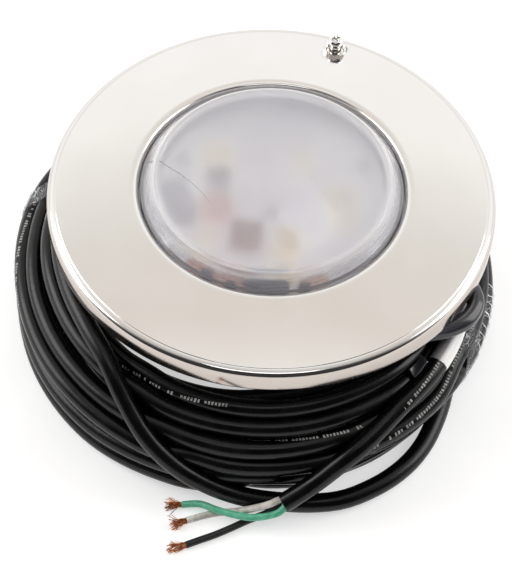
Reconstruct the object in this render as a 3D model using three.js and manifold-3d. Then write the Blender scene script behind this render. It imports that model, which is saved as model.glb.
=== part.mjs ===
// Underwater pool light, lying face up on its own coiled cord.
// Units are millimetres, +Z is the light's axis and points out of the lens.
// The origin is the centre of the flat back of the housing, where the light stands.
import * as THREE from 'three';
import { mergeVertices } from 'three/addons/utils/BufferGeometryUtils.js';
import Module from 'manifold-3d';

const wasm = await Module();
wasm.setup();

// ---------------------------------------------------------------- driving dimensions
const FIT_GAP = 0.3;            // air between pieces that touch
const SHEET = 1.5;              // stainless sheet of the face ring and the shell
const ROUND_STEPS = 64;         // facets round every turned piece

const FACE_RING_RADIUS = 127;   // ten inch face ring
const FACE_EDGE_Z = 95;         // top of the ring at its outer shoulder
const FACE_LIP_Z = 99.7;        // top of the ring at the lens
const SKIRT_BOTTOM_Z = 81;
const HEM_INNER_RADIUS = 122.8;
const RING_OPENING_RADIUS = 75.2;

const LENS_CROWN_Z = 112.5;
const LENS_FLANGE_RADIUS = 100.1;
const LENS_FLANGE_BOTTOM_Z = 88.2;
const LENS_FLANGE_TOP_Z = 91.1;

const SHELL_CAN_RADIUS = 66;    // narrow rear part of the shell
const SHELL_DRUM_RADIUS = 88;   // wide front part
const SHELL_FLANGE_RADIUS = 100;
const SHELL_FLANGE_Z = 86.1;

const LAMP_TURN = THREE.MathUtils.degToRad(-17);  // twelve o'clock of the lamp, clockwise from +Y

const SCREW_PITCH_RADIUS = 115; // pilot screw, from the light's axis
const SCREW_HEAD_RADIUS = 4.2;
const SCREW_SHANK_RADIUS = 2.4;
const SCREW_HEAD_Z = 101.7;     // underside of the head when it is backed out
const SCREW_HEAD_HEIGHT = 2.9;
const SCREW_LENGTH = 25.4;
const CUP_FLOOR_Z = 93;

const BOARD_TOP_Z = 73.6;
const LED_COUNT = 5;
const LED_CIRCLE_RADIUS = 42;
const LED_FIRST_ANGLE = 66;     // degrees from +X

const CORD_RADIUS = 5.5;        // three conductor twelve gauge cord, 11 across
const CORD_SIDES = 10;
const CONDUCTOR_RADIUS = 2;
const COPPER_RADIUS = 1.4;
const COIL_CENTRE = new THREE.Vector3(-6, -7, 0);
const GLAND_Y = 75;             // the cord leaves along +X, beside the rear can
const GLAND_Z = 22;

// ---------------------------------------------------------------- finishes
const finish = (color, roughness, metalness) => ({ color, roughness, metalness });
const POLISHED_STEEL = finish(0xe4e2de, 0.08, 1);
const BRUSHED_STEEL = finish(0xb9b8b5, 0.35, 1);
const FROSTED_LENS = finish(0xcfcfd4, 0.45, 0);
const RUBBER = finish(0x1c1c1d, 0.8, 0);
const CORD_JACKET = finish(0x141415, 0.45, 0);
const ALUMINIUM = finish(0xa9abad, 0.45, 1);
const WHITE_BOARD = finish(0xe9e9e4, 0.5, 0);
const GREEN_BOARD = finish(0x1f6b3a, 0.5, 0);
const LED_RESIN = finish(0xe8d48a, 0.3, 0);
const BRASS = finish(0xb58b46, 0.35, 1);
const COPPER = finish(0xb5653a, 0.4, 1);
const BLACK_PLASTIC = finish(0x222224, 0.55, 0);
const WHITE_JACKET = finish(0xddd8d2, 0.5, 0);
const GREEN_JACKET = finish(0x5cb896, 0.5, 0);
const BLACK_JACKET = finish(0x19191a, 0.5, 0);
const LABEL_FILM = finish(0xd8d8d8, 0.4, 0);
const CLEAR_TAPE = finish(0x8a8d92, 0.25, 0);

// ---------------------------------------------------------------- making solids
const model = new THREE.Group();
const lamp = new THREE.Group();   // everything that turns with the lamp's twelve o'clock
lamp.rotation.z = LAMP_TURN;
model.add(lamp);

function addPiece(name, geometry, look, parent = model) {
  const mesh = new THREE.Mesh(geometry, new THREE.MeshStandardMaterial(look));
  mesh.name = name;
  parent.add(mesh);
  return mesh;
}

// A closed body turned about Z from [radius, height] points.
function turned(profile, steps = ROUND_STEPS) {
  const points = profile.map(([radius, height]) => new THREE.Vector2(radius, height));
  const geometry = new THREE.LatheGeometry(points, steps);
  geometry.rotateX(Math.PI / 2);
  return facingOut(geometry);
}

// The same for a section that doesn't reach the axis: the outline is closed first.
const turnedRing = (profile, steps) => turned([...profile, profile[0]], steps);

// Vertices merged to plain positions, and the faces turned round if the volume comes out negative.
function facingOut(geometry) {
  const plain = geometry.index ? geometry.toNonIndexed() : geometry.clone();
  plain.deleteAttribute('normal');
  plain.deleteAttribute('uv');
  const merged = mergeVertices(plain, 1e-4);
  const position = merged.attributes.position;
  const kept = [];
  const corners = [new THREE.Vector3(), new THREE.Vector3(), new THREE.Vector3()];
  let volume = 0;
  for (let i = 0; i < merged.index.count; i += 3) {
    const triangle = [0, 1, 2].map((k) => merged.index.getX(i + k));
    if (new Set(triangle).size < 3) continue;
    triangle.forEach((vertex, k) => corners[k].fromBufferAttribute(position, vertex));
    volume += corners[0].dot(corners[1].clone().cross(corners[2]));
    kept.push(triangle);
  }
  const index = kept.flatMap(([a, b, c]) => (volume < 0 ? [a, c, b] : [a, b, c]));
  merged.setIndex(index);
  return merged;
}

function solidOf(geometry) {
  const closed = facingOut(geometry);
  return new wasm.Manifold(new wasm.Mesh({
    numProp: 3,
    vertProperties: new Float32Array(closed.attributes.position.array),
    triVerts: new Uint32Array(closed.index.array),
  }));
}

function geometryOf(solid) {
  const mesh = solid.getMesh();
  const geometry = new THREE.BufferGeometry();
  geometry.setAttribute('position', new THREE.BufferAttribute(new Float32Array(mesh.vertProperties), 3));
  geometry.setIndex(new THREE.BufferAttribute(new Uint32Array(mesh.triVerts), 1));
  return geometry;
}

const cut = (body, ...tools) => geometryOf(
  tools.reduce((left, tool) => left.subtract(solidOf(tool)), solidOf(body)));
const joined = (...bodies) => geometryOf(
  bodies.slice(1).reduce((sum, body) => sum.add(solidOf(body)), solidOf(bodies[0])));
const common = (body, tool) => geometryOf(solidOf(body).intersect(solidOf(tool)));

// A block between two corners.
function block(low, high) {
  const size = high.map((value, k) => value - low[k]);
  const centre = high.map((value, k) => (value + low[k]) / 2);
  return new THREE.BoxGeometry(...size).translate(...centre);
}

// A round bar between two points, with its own radius at each end.
function bar(from, to, startRadius, endRadius = startRadius, sides = 24) {
  const start = new THREE.Vector3(...from);
  const end = new THREE.Vector3(...to);
  const along = end.clone().sub(start);
  const geometry = new THREE.CylinderGeometry(endRadius, startRadius, along.length(), sides);
  const turn = new THREE.Quaternion().setFromUnitVectors(new THREE.Vector3(0, 1, 0), along.clone().normalize());
  geometry.applyQuaternion(turn);
  geometry.translate(...start.add(end).multiplyScalar(0.5).toArray());
  return facingOut(geometry);
}

// A bent strip: an outline in [radius, height], as wide as given, standing across the X axis.
function strip(outline, width) {
  const shape = new THREE.Shape(outline.map(([radius, height]) => new THREE.Vector2(radius, height)));
  const geometry = new THREE.ExtrudeGeometry(shape, { depth: width, bevelEnabled: false });
  geometry.rotateX(Math.PI / 2);
  geometry.translate(0, width / 2, 0);
  return facingOut(geometry);
}

const turnedTo = (geometry, degrees) => geometry.rotateZ(THREE.MathUtils.degToRad(degrees));
const smoothPath = (points) => new THREE.CatmullRomCurve3(points, false, 'centripetal');

// A round cord along a smooth path, with a whole number of equal steps.
function cordAlong(path, radius, stepLength, sides = CORD_SIDES) {
  const section = new THREE.Shape();
  section.absarc(0, 0, radius, 0, 2 * Math.PI);
  const steps = Math.round(path.getLength() / stepLength);
  const options = { steps, curveSegments: sides, extrudePath: path, bevelEnabled: false };
  return { geometry: facingOut(new THREE.ExtrudeGeometry(section, options)), steps };
}

// ---------------------------------------------------------------- face ring and what it carries
// The cone of the ring falls evenly from the lip to the shoulder.
const CONE_OUTER_RADIUS = 122.5;
const LIP_OUTER_RADIUS = 80;

function faceRing() {
  const sheet = turnedRing([
    [RING_OPENING_RADIUS, 94.5],
    [RING_OPENING_RADIUS, 97.2],
    [76.3, 98.9],
    [78, 99.6],
    [LIP_OUTER_RADIUS, FACE_LIP_Z],
    [CONE_OUTER_RADIUS, FACE_EDGE_Z],
    [125.6, 93.9],
    [FACE_RING_RADIUS, 91],
    [FACE_RING_RADIUS, 82],
    [126.3, SKIRT_BOTTOM_Z],
    [HEM_INNER_RADIUS, SKIRT_BOTTOM_Z],
    [HEM_INNER_RADIUS, SKIRT_BOTTOM_Z + SHEET],
    [FACE_RING_RADIUS - SHEET, SKIRT_BOTTOM_Z + SHEET],
    [FACE_RING_RADIUS - SHEET, 90.8],
    [124.5, 92.8],
    [CONE_OUTER_RADIUS, FACE_EDGE_Z - SHEET],
    [LIP_OUTER_RADIUS, FACE_LIP_Z - SHEET],
    [77.6, 97.6],
    [RING_OPENING_RADIUS + SHEET, 96.6],
    [RING_OPENING_RADIUS + SHEET, 94.5],
  ]);
  const screwHole = bar([0, SCREW_PITCH_RADIUS, 85], [0, SCREW_PITCH_RADIUS, 100], 6.4, 6.4, 32);
  return cut(sheet, screwHole);
}
addPiece('face_ring', faceRing(), POLISHED_STEEL, lamp);

// The hook at six o'clock that drops behind the rim of the niche.
const hookTab = turnedTo(strip([
  [108, 92], [119.7, 92], [119.7, 80.3], [114, 80.3], [114, 79], [121, 79], [121, 93.1], [108, 93.1],
], 20), -90);
addPiece('niche_hook_tab', hookTab, BRUSHED_STEEL, lamp);

// Four clips that hold the ring to the lens clamp.
const CLIP_ANGLES = [45, 135, 225, 315];
CLIP_ANGLES.forEach((angle, k) => {
  const clip = strip([
    [98, 81.3], [108, 81.3], [108, 93.6], [119, 92.4], [119, 93.5], [106.8, 94.8], [106.8, 82.5], [98, 82.5],
  ], 14);
  addPiece(`ring_clip_${k + 1}`, turnedTo(clip, angle), BRUSHED_STEEL, lamp);
});

// The dished cup in the ring's hole.
const screwCup = turnedRing([
  [2.7, 91.8], [8.5, 91.8], [8.5, 92.8], [6.1, 92.8], [6.1, 95.5], [5.3, 95.5], [5.3, CUP_FLOOR_Z],
  [2.7, CUP_FLOOR_Z],
], 32);
addPiece('screw_cup', screwCup, POLISHED_STEEL, lamp).position.y = SCREW_PITCH_RADIUS;

// Pan head screw with a cross recess.
function pilotScrew() {
  const headTop = SCREW_HEAD_Z + SCREW_HEAD_HEIGHT;
  const tip = SCREW_HEAD_Z - SCREW_LENGTH;
  const body = turned([
    [0, tip],
    [1.2, tip],
    [SCREW_SHANK_RADIUS, tip + 2],
    [SCREW_SHANK_RADIUS, SCREW_HEAD_Z],
    [SCREW_HEAD_RADIUS, SCREW_HEAD_Z],
    [SCREW_HEAD_RADIUS, SCREW_HEAD_Z + 1.4],
    [3.4, SCREW_HEAD_Z + 2.4],
    [1.8, headTop - 0.1],
    [0, headTop],
  ], 32);
  const slotDepth = 1.6;
  const slot = block([-2.3, -0.5, headTop - slotDepth], [2.3, 0.5, headTop + 1]);
  const crossSlot = block([-0.5, -2.3, headTop - slotDepth], [0.5, 2.3, headTop + 1]);
  return cut(body, slot, crossSlot);
}
addPiece('pilot_screw', pilotScrew(), POLISHED_STEEL, lamp).position.y = SCREW_PITCH_RADIUS;

// The washer under the ring that keeps the screw from falling out.
const retainingWasher = turnedRing([[2.7, 89.8], [7, 89.8], [7, 91.5], [2.7, 91.5]], 32);
addPiece('screw_retaining_washer', retainingWasher, RUBBER, lamp).position.y = SCREW_PITCH_RADIUS;

// ---------------------------------------------------------------- lens, gasket and clamp
function lens() {
  // A shallow crown on a sloping shoulder, with a flat flange under the ring.
  const crown = [];
  const crownEdgeRadius = 64.5;
  const crownEdgeZ = 105.6;
  const crownSteps = 6;
  for (let k = 0; k <= crownSteps; k += 1) {
    const radius = (crownEdgeRadius * k) / crownSteps;
    crown.push([radius, LENS_CROWN_Z - (LENS_CROWN_Z - crownEdgeZ) * (k / crownSteps) ** 2]);
  }
  const wall = 4;
  const inside = crown.map(([radius, height]) => [radius * 0.96, height - wall]).reverse();
  return turned([
    ...crown,
    [67, 104.6],
    [68.8, 102.8],
    [74.4, 97],
    [74.6, LENS_FLANGE_TOP_Z],
    [LENS_FLANGE_RADIUS, LENS_FLANGE_TOP_Z],
    [LENS_FLANGE_RADIUS, LENS_FLANGE_BOTTOM_Z],
    [70.5, LENS_FLANGE_BOTTOM_Z],
    [70.5, 95.4],
    ...inside,
  ]);
}
addPiece('lens', lens(), FROSTED_LENS);

const gasketOuter = 103;
const gasketInner = 95;
const gasketBack = 100.4;
const lensGasket = turnedRing([
  [gasketInner, 82.8], [gasketOuter, 82.8], [gasketOuter, 92.8], [gasketInner, 92.8],
  [gasketInner, 91.4], [gasketBack, 91.4], [gasketBack, 87.9], [gasketInner, 87.9],
  [gasketInner, 86.4], [gasketBack, 86.4], [gasketBack, 84.3], [gasketInner, 84.3],
]);
addPiece('lens_gasket', lensGasket, RUBBER);

// A split band with two ears, drawn tight by one screw.
const BAND_INNER = 103.4;
const BAND_OUTER = 104.8;
const EAR_HEIGHTS = [84, 92];
const EAR_FACES = [6, 8];        // each ear lies between these distances from the split's middle
const BAND_SCREW = { radius: 2.2, x: 110, z: 88 };

function clampBand() {
  const hoop = turnedRing([[BAND_INNER, 83.2], [BAND_OUTER, 83.2], [BAND_OUTER, 92.4], [BAND_INNER, 92.4]]);
  const split = block([95, -EAR_FACES[0], 80], [115, EAR_FACES[0], 95]);
  const [inner, outer] = EAR_FACES;
  const [low, high] = EAR_HEIGHTS;
  const ears = [
    block([BAND_INNER + 0.2, inner, low], [115, outer, high]),
    block([BAND_INNER + 0.2, -outer, low], [115, -inner, high]),
  ];
  const hoopAndEars = joined(cut(hoop, split), ...ears);
  const hole = bar([BAND_SCREW.x, -20, BAND_SCREW.z], [BAND_SCREW.x, 20, BAND_SCREW.z], BAND_SCREW.radius + FIT_GAP);
  return cut(hoopAndEars, hole);
}
addPiece('clamp_band', clampBand(), BRUSHED_STEEL, lamp);

const bandScrew = joined(
  bar([BAND_SCREW.x, -8.4, BAND_SCREW.z], [BAND_SCREW.x, -11.4, BAND_SCREW.z], 4, 3.4),
  bar([BAND_SCREW.x, -8.5, BAND_SCREW.z], [BAND_SCREW.x, 14, BAND_SCREW.z], BAND_SCREW.radius),
);
addPiece('band_screw', bandScrew, BRUSHED_STEEL, lamp);
const bandNut = cut(
  bar([BAND_SCREW.x, 8.4, BAND_SCREW.z], [BAND_SCREW.x, 12, BAND_SCREW.z], 4.2, 4.2, 6),
  bar([BAND_SCREW.x, 5, BAND_SCREW.z], [BAND_SCREW.x, 15, BAND_SCREW.z], BAND_SCREW.radius + FIT_GAP),
);
addPiece('band_nut', bandNut, BRUSHED_STEEL, lamp);

// ---------------------------------------------------------------- shell and cord entry
const entryX = -12;              // the hole through the can's wall into the entry boss
const entryHole = bar([entryX, 50, GLAND_Z], [entryX, GLAND_Y, GLAND_Z], 5, 5, 24);

function housingShell() {
  const can = SHELL_CAN_RADIUS;
  const drum = SHELL_DRUM_RADIUS;
  const body = turned([
    [0, 0], [can - 4, 0], [can, 4], [can, 38], [drum, 54], [drum, SHELL_FLANGE_Z - SHEET],
    [SHELL_FLANGE_RADIUS, SHELL_FLANGE_Z - SHEET], [SHELL_FLANGE_RADIUS, SHELL_FLANGE_Z],
    [drum - SHEET, SHELL_FLANGE_Z], [drum - SHEET, 54.7], [can - SHEET, 38.7], [can - SHEET, 4.7],
    [can - 4.6, SHEET], [0, SHEET],
  ]);
  return cut(body, entryHole);
}
addPiece('housing_shell', housingShell(), BRUSHED_STEEL);

// A boss beside the can: the cord enters along the can's side, then turns in through the wall.
const BOSS_MOUTH_X = 0;
function cordEntryBoss() {
  const barrel = bar([-24, GLAND_Y, GLAND_Z], [BOSS_MOUTH_X, GLAND_Y, GLAND_Z], 12, 12, 32);
  const saddle = block([-23, 56, GLAND_Z - 9], [-2, GLAND_Y, GLAND_Z + 9]);
  const bore = bar([-17, GLAND_Y, GLAND_Z], [5, GLAND_Y, GLAND_Z], 6, 6, 24);
  const canSpace = new THREE.CylinderGeometry(
    SHELL_CAN_RADIUS + FIT_GAP, SHELL_CAN_RADIUS + FIT_GAP, 90, ROUND_STEPS).rotateX(Math.PI / 2);
  return cut(joined(barrel, saddle), canSpace, bore, entryHole);
}
addPiece('cord_entry_boss', cordEntryBoss(), BRUSHED_STEEL);

const grommet = bar([-7, GLAND_Y, GLAND_Z], [-0.4, GLAND_Y, GLAND_Z], 5.6, 5.6, 24);
addPiece('cord_grommet', grommet, RUBBER);

const glandNut = cut(
  bar([BOSS_MOUTH_X + FIT_GAP, GLAND_Y, GLAND_Z], [10, GLAND_Y, GLAND_Z], 9.8, 9.8, 6),
  bar([-2, GLAND_Y, GLAND_Z], [12, GLAND_Y, GLAND_Z], 6, 6, 24),
);
addPiece('gland_nut', glandNut, BRASS);
const RELIEF_START_X = 10.3;
const RELIEF_END_X = 36;
const relief = bar([RELIEF_START_X, GLAND_Y, GLAND_Z], [RELIEF_END_X, GLAND_Y, GLAND_Z], 9.5, 6.4, 24);
addPiece('cord_strain_relief', relief, RUBBER);

// Bonding lug with its set screw, on the can.
const lug = cut(
  block([-78, -5, 18], [-64, 5, 28]),
  new THREE.CylinderGeometry(SHELL_CAN_RADIUS + FIT_GAP, SHELL_CAN_RADIUS + FIT_GAP, 90, ROUND_STEPS)
    .rotateX(Math.PI / 2),
  bar([-73, -9, 22.5], [-73, 9, 22.5], 2.4),
);
addPiece('bonding_lug', lug, BRASS);
addPiece('bonding_lug_screw', bar([-73, 0, 28.3], [-73, 0, 32], 3.4, 2.9, 12), BRUSHED_STEEL);

// ---------------------------------------------------------------- inside: heat sink, board, driver
function heatSink() {
  const plate = turned([[0, 67], [84, 67], [84, 71.7], [0, 71.7]], 48);
  const fins = [];
  for (let x = -48; x <= 48; x += 16) {
    const halfLength = Math.sqrt(60 ** 2 - x ** 2);
    fins.push(block([x - 1.2, -halfLength, 47], [x + 1.2, halfLength, 68]));
  }
  return joined(plate, ...fins);
}
addPiece('heat_sink', heatSink(), ALUMINIUM);
addPiece('led_board', turnedRing([[5, 72], [78, 72], [78, BOARD_TOP_Z], [5, BOARD_TOP_Z]], 48), WHITE_BOARD);

for (let k = 0; k < LED_COUNT; k += 1) {
  const angle = THREE.MathUtils.degToRad(LED_FIRST_ANGLE + (360 * k) / LED_COUNT);
  const base = BOARD_TOP_Z + FIT_GAP;
  const emitter = turned([
    [0, base], [8, base], [8, base + 2], [6.5, base + 2], [6, base + 4.5], [4, base + 6.6], [0, base + 7.4],
  ], 20);
  addPiece(`led_emitter_${k + 1}`, emitter, LED_RESIN)
    .position.set(LED_CIRCLE_RADIUS * Math.cos(angle), LED_CIRCLE_RADIUS * Math.sin(angle), 0);
}

const boardParts = BOARD_TOP_Z + FIT_GAP;
addPiece('board_connector', block([-12, -62, boardParts], [12, -52, boardParts + 9]), BLACK_PLASTIC);
const boardScrewPlaces = [[-34, -54], [24, -56], [-52, 34], [52, 34]];
boardScrewPlaces.forEach(([x, y], k) => {
  addPiece(`board_screw_${k + 1}`, bar([x, y, boardParts], [x, y, boardParts + 3], 4, 3, 12), BRUSHED_STEEL);
});

const DRIVER_Z = 28;
const STANDOFF_PLACES = [[-38, -24], [38, -24], [-38, 24], [38, 24]];
addPiece('driver_board', block([-46, -31, DRIVER_Z], [46, 31, DRIVER_Z + 1.6]), GREEN_BOARD);
STANDOFF_PLACES.forEach(([x, y], k) => {
  const standoff = bar([x, y, SHEET + FIT_GAP], [x, y, DRIVER_Z - FIT_GAP], 3, 3, 6);
  addPiece(`driver_standoff_${k + 1}`, standoff, BRASS);
});
const onDriver = DRIVER_Z + 1.6 + FIT_GAP;
addPiece('driver_coil', block([-30, -20, onDriver], [0, 8, onDriver + 14]), BLACK_PLASTIC);
addPiece('driver_capacitor', bar([22, -8, onDriver], [22, -8, onDriver + 14], 7, 7, 20), ALUMINIUM);
addPiece('lead_terminal_block', block([-28, 14, onDriver], [8, 26, onDriver + 10]), WHITE_BOARD);

// Three leads from the entry to the terminal block.
const LEAD_RADIUS = 1.5;
const leadLooks = { lead_line: BLACK_JACKET, lead_neutral: WHITE_JACKET, lead_ground: GREEN_JACKET };
Object.entries(leadLooks).forEach(([name, look], k) => {
  const side = (k - 1) * 3.2;
  const path = smoothPath([
    new THREE.Vector3(entryX + side, 70, GLAND_Z),
    new THREE.Vector3(entryX + side, 58, GLAND_Z),
    new THREE.Vector3(entryX + side * 1.6, 47, GLAND_Z + 6),
    new THREE.Vector3(entryX + side * 2.2, 38, onDriver + 6),
    new THREE.Vector3(entryX + side * 2.4, 26 + FIT_GAP, onDriver + 5),
  ]);
  addPiece(name, cordAlong(path, LEAD_RADIUS, 8, 8).geometry, look);
});

// ---------------------------------------------------------------- the free cord
// [radius, degrees, height] about the coil's own centre.
function aboutCoil([radius, degrees, height]) {
  const angle = THREE.MathUtils.degToRad(degrees);
  return new THREE.Vector3(
    COIL_CENTRE.x + radius * Math.cos(angle), COIL_CENTRE.y + radius * Math.sin(angle), height);
}

// From the strain relief to the coil's inner wall.
const exitPath = smoothPath([
  new THREE.Vector3(RELIEF_END_X + FIT_GAP, GLAND_Y, GLAND_Z),
  new THREE.Vector3(42, GLAND_Y, GLAND_Z),
  new THREE.Vector3(47, 73.6, GLAND_Z),
  new THREE.Vector3(51, 70.8, GLAND_Z),
]);
addPiece('cord_exit_run', cordAlong(exitPath, CORD_RADIUS, 6).geometry, CORD_JACKET);

// The wound cord as one ring: wide at the bottom, drawn in under the face ring.
const coilSection = [[103, 1.2], [138, 1.2], [138, 30], [134, 42], [112, 64], [103, 64]];
addPiece('cord_coil', turnedRing(coilSection, 48), CORD_JACKET).position.copy(COIL_CENTRE);

// The last turn lies loose: along the floor at the right, up over the left front, round the top of
// the coil under the face ring, and down over the right front to the cut end.
const looseTurnRoute = [
  [144.1, 322, 5.8], [144.3, 315, 5.7], [146.2, 307, 5.7], [149.4, 299, 5.7], [149.6, 291, 5.7],
  [147.4, 284, 5.9], [144.9, 277.5, 6.8], [144.2, 269, 11.6], [144.2, 261.3, 20], [144.1, 254.5, 30.2],
  [140.6, 247, 42.2], [132.2, 238.5, 56], [124.4, 229.9, 67.8], [119.5, 220, 71.4], [116, 207, 71.4],
  [114, 190, 71.4], [113.5, 172, 71.4], [113.5, 154, 71.4], [113, 136, 71.4], [112.5, 118, 71.4],
  [112, 100, 71.4], [112, 82, 71.4], [112.5, 66, 71.4], [113.5, 48, 71.4], [115, 30, 71.4],
  [117, 14, 71.4], [119, 0, 70.5], [119.5, 349.5, 67], [122.8, 340.8, 63.8], [127.6, 329.6, 60],
  [131, 319.8, 57], [135.4, 306.3, 52.5], [142.4, 295.1, 43], [144.8, 290.2, 36.8],
  [146.4, 286.1, 29], [149, 282, 23], [151.85, 277.95, 17.6],
];
const looseTurn = smoothPath(looseTurnRoute.map(aboutCoil));
const looseTurnCord = cordAlong(looseTurn, CORD_RADIUS, 25);
addPiece('cord_loose_turn', looseTurnCord.geometry, CORD_JACKET);

// A blank label wrapped round one straight step of the loose turn.
function cordLabel() {
  const step = Math.round(looseTurnCord.steps * 0.86);
  const from = looseTurn.getPointAt(step / looseTurnCord.steps);
  const to = looseTurn.getPointAt((step + 1) / looseTurnCord.steps);
  const start = from.clone().lerp(to, 0.06).toArray();
  const end = from.clone().lerp(to, 0.94).toArray();
  const beyond = [from.clone().lerp(to, -0.2).toArray(), from.clone().lerp(to, 1.2).toArray()];
  return cut(bar(start, end, 6.6, 6.6, 20), bar(...beyond, 6, 6, 20));
}
addPiece('cord_label', cordLabel(), LABEL_FILM);

// Two ties of clear tape round the whole coil.
function coilTie(middleDegrees, widthDegrees) {
  const inner = 0.4;
  const outer = 0.9;
  const grown = (by) => [
    [103 - by, 1.2 - by], [138 + by, 1.2 - by], [138 + by, 30 + by], [134 + by, 42 + by],
    [112 + by, 64 + by], [103 - by, 64 + by],
  ];
  const half = THREE.MathUtils.degToRad(widthDegrees / 2);
  const reach = 200;
  const wedge = new THREE.Shape([
    new THREE.Vector2(0, 0),
    new THREE.Vector2(reach * Math.cos(half), -reach * Math.sin(half)),
    new THREE.Vector2(reach * Math.cos(half), reach * Math.sin(half)),
  ]);
  const slice = new THREE.ExtrudeGeometry(wedge, { depth: 100, bevelEnabled: false }).translate(0, 0, -20);
  const skin = cut(turnedRing(grown(outer), 72), turnedRing(grown(inner), 72));
  return turnedTo(common(skin, slice), middleDegrees);
}
addPiece('coil_tie_left', coilTie(165, 7), CLEAR_TAPE).position.copy(COIL_CENTRE);
addPiece('coil_tie_right', coilTie(338, 18), CLEAR_TAPE).position.copy(COIL_CENTRE);

// Three insulated conductors fan out of the cut jacket and end in bared copper.
const conductors = {
  white: {
    look: WHITE_JACKET,
    route: [[13, -156.1, 18.3], [7.1, -158.4, 16.8], [-2.6, -159.2, 12.2], [-8.6, -158.2, 8],
      [-14.5, -157.6, 5], [-21, -157.5, 3.4], [-29, -159.2, 2.4], [-38.6, -162.8, 2.3]],
    bareEnd: [-47.1, -167, 2.2],
  },
  green: {
    look: GREEN_JACKET,
    route: [[15.2, -160.3, 17.2], [12.6, -162.2, 15.0], [6.4, -162.9, 11.8], [-2.3, -163.4, 9.9],
      [-11.7, -162.1, 9.5], [-21.1, -159.2, 8.6], [-32.4, -153.7, 5.4], [-41.4, -152.8, 2.4]],
    bareEnd: [-51.3, -154, 2.2],
  },
  black: {
    look: BLACK_JACKET,
    route: [[14.2, -157.9, 13.9], [9, -158.5, 8.8], [3, -159.2, 5.6], [-5.6, -161.6, 2.5],
      [-14.1, -166.5, 2.3], [-22.7, -171.2, 2.3], [-30.7, -174.9, 2.3], [-38.1, -178.4, 2.3]],
    bareEnd: [-48.4, -180.2, 2.2],
  },
};
Object.entries(conductors).forEach(([name, { look, route, bareEnd }]) => {
  const path = smoothPath(route.map((point) => new THREE.Vector3(...point)));
  addPiece(`conductor_${name}`, cordAlong(path, CONDUCTOR_RADIUS, 7, 8).geometry, look);
  const last = new THREE.Vector3(...route.at(-1));
  const direction = new THREE.Vector3(...bareEnd).sub(last).normalize();
  const start = last.clone().addScaledVector(direction, 2 * FIT_GAP).toArray();
  addPiece(`copper_${name}`, bar(start, bareEnd, COPPER_RADIUS, 1.9, 10), COPPER);
});

export default model;
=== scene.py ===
# %% [markdown]
# # An underwater pool light on its own coil of cord
# The light lies face up: a polished steel ring, a frosted lens, and under them a shell hidden in
# nineteen turns of black cord. The solid model fixes every size and place; this notebook gives it
# its cord, its fine shapes and its finishes.

import math

import bmesh
import bpy
import numpy as np
from mathutils import Matrix, Vector


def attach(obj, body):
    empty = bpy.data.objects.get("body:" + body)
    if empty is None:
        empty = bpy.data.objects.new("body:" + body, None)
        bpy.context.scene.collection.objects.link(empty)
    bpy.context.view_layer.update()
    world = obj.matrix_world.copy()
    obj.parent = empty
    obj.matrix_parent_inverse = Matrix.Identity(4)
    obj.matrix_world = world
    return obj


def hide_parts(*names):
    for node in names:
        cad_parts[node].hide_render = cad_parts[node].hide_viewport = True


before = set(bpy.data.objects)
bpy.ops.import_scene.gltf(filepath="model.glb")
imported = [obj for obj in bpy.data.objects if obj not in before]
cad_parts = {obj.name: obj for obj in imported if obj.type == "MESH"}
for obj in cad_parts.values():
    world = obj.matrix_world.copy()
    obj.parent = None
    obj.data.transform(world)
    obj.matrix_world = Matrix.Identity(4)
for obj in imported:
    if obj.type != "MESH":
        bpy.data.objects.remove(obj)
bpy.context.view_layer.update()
LIGHT = "light"
MM = 0.001

# %% [markdown]
# ## The camera
# A long lens about 1.2 m away looks down at some fifty degrees. The camera is aimed a little under
# the ring's middle and is tilted, as a held camera is, so the ring's right side sits lower.

# %% Camera
CAMERA_DISTANCE = 1.2
CAMERA_ELEVATION = math.radians(50.7)
CAMERA_ROLL = math.radians(2.7)
CAMERA_LENS = 134.9
AIM_BELOW = math.radians(2.52)
AIM_LEFT = math.radians(0.43)
RING_TOP = 0.095


def add_camera():
    forward = Vector((0, math.cos(CAMERA_ELEVATION), -math.sin(CAMERA_ELEVATION)))
    upright = Vector((0, math.sin(CAMERA_ELEVATION), math.cos(CAMERA_ELEVATION)))
    right = Vector((1, 0, 0))
    place = Vector((0, 0, RING_TOP)) - forward * CAMERA_DISTANCE
    across = right * math.cos(CAMERA_ROLL) + upright * math.sin(CAMERA_ROLL)
    up = upright * math.cos(CAMERA_ROLL) - right * math.sin(CAMERA_ROLL)
    aim = (forward - across * math.tan(AIM_LEFT) - up * math.tan(AIM_BELOW)).normalized()
    across = (across - aim * across.dot(aim)).normalized()
    up = across.cross(aim)
    data = bpy.data.cameras.new("camera")
    data.lens = CAMERA_LENS
    camera = bpy.data.objects.new("camera", data)
    turn = Matrix((across, up, -aim)).transposed().to_4x4()
    camera.matrix_world = Matrix.Translation(place) @ turn
    bpy.context.scene.collection.objects.link(camera)
    bpy.context.scene.camera = camera
    return camera


add_camera()
print("camera", tuple(round(x, 3) for x in bpy.context.scene.camera.location))

# %% [markdown]
# ## The main cord
# It is one length of three conductor cord, about 11 mm thick. It leaves the strain relief beside
# the shell, climbs inside the coil, fills it row by row from the top down, and its last turn lies
# loose: over the floor at the right, up over the left front, round under the ring, and down over
# the right front to its cut end.
#
# The turns could be drawn by hand, but real turns touch and never pass through each other. So each
# turn starts in a place of its own in the coil's section, and a short relaxation then pushes apart
# turns that are closer than a diameter, at each of many angles round the coil. The loose turn is
# already in its place and pushes without being pushed.

# %% Sizes of the cord and its coil
CORD_DIAMETER = 0.011
COIL_CENTRE = np.array([-0.006, -0.007])
ANGLES_PER_TURN = 40
COIL_START = -40.0
COIL_END = 359.0
TURN_SPACING = 0.97 * CORD_DIAMETER
ROW_HEIGHT = 0.0096
COLUMN_ONE = 0.1085
TOP_TURN_RADIUS = 0.121
TURNS_IN_ROWS = [1, 3, 3, 4, 4, 4]


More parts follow.
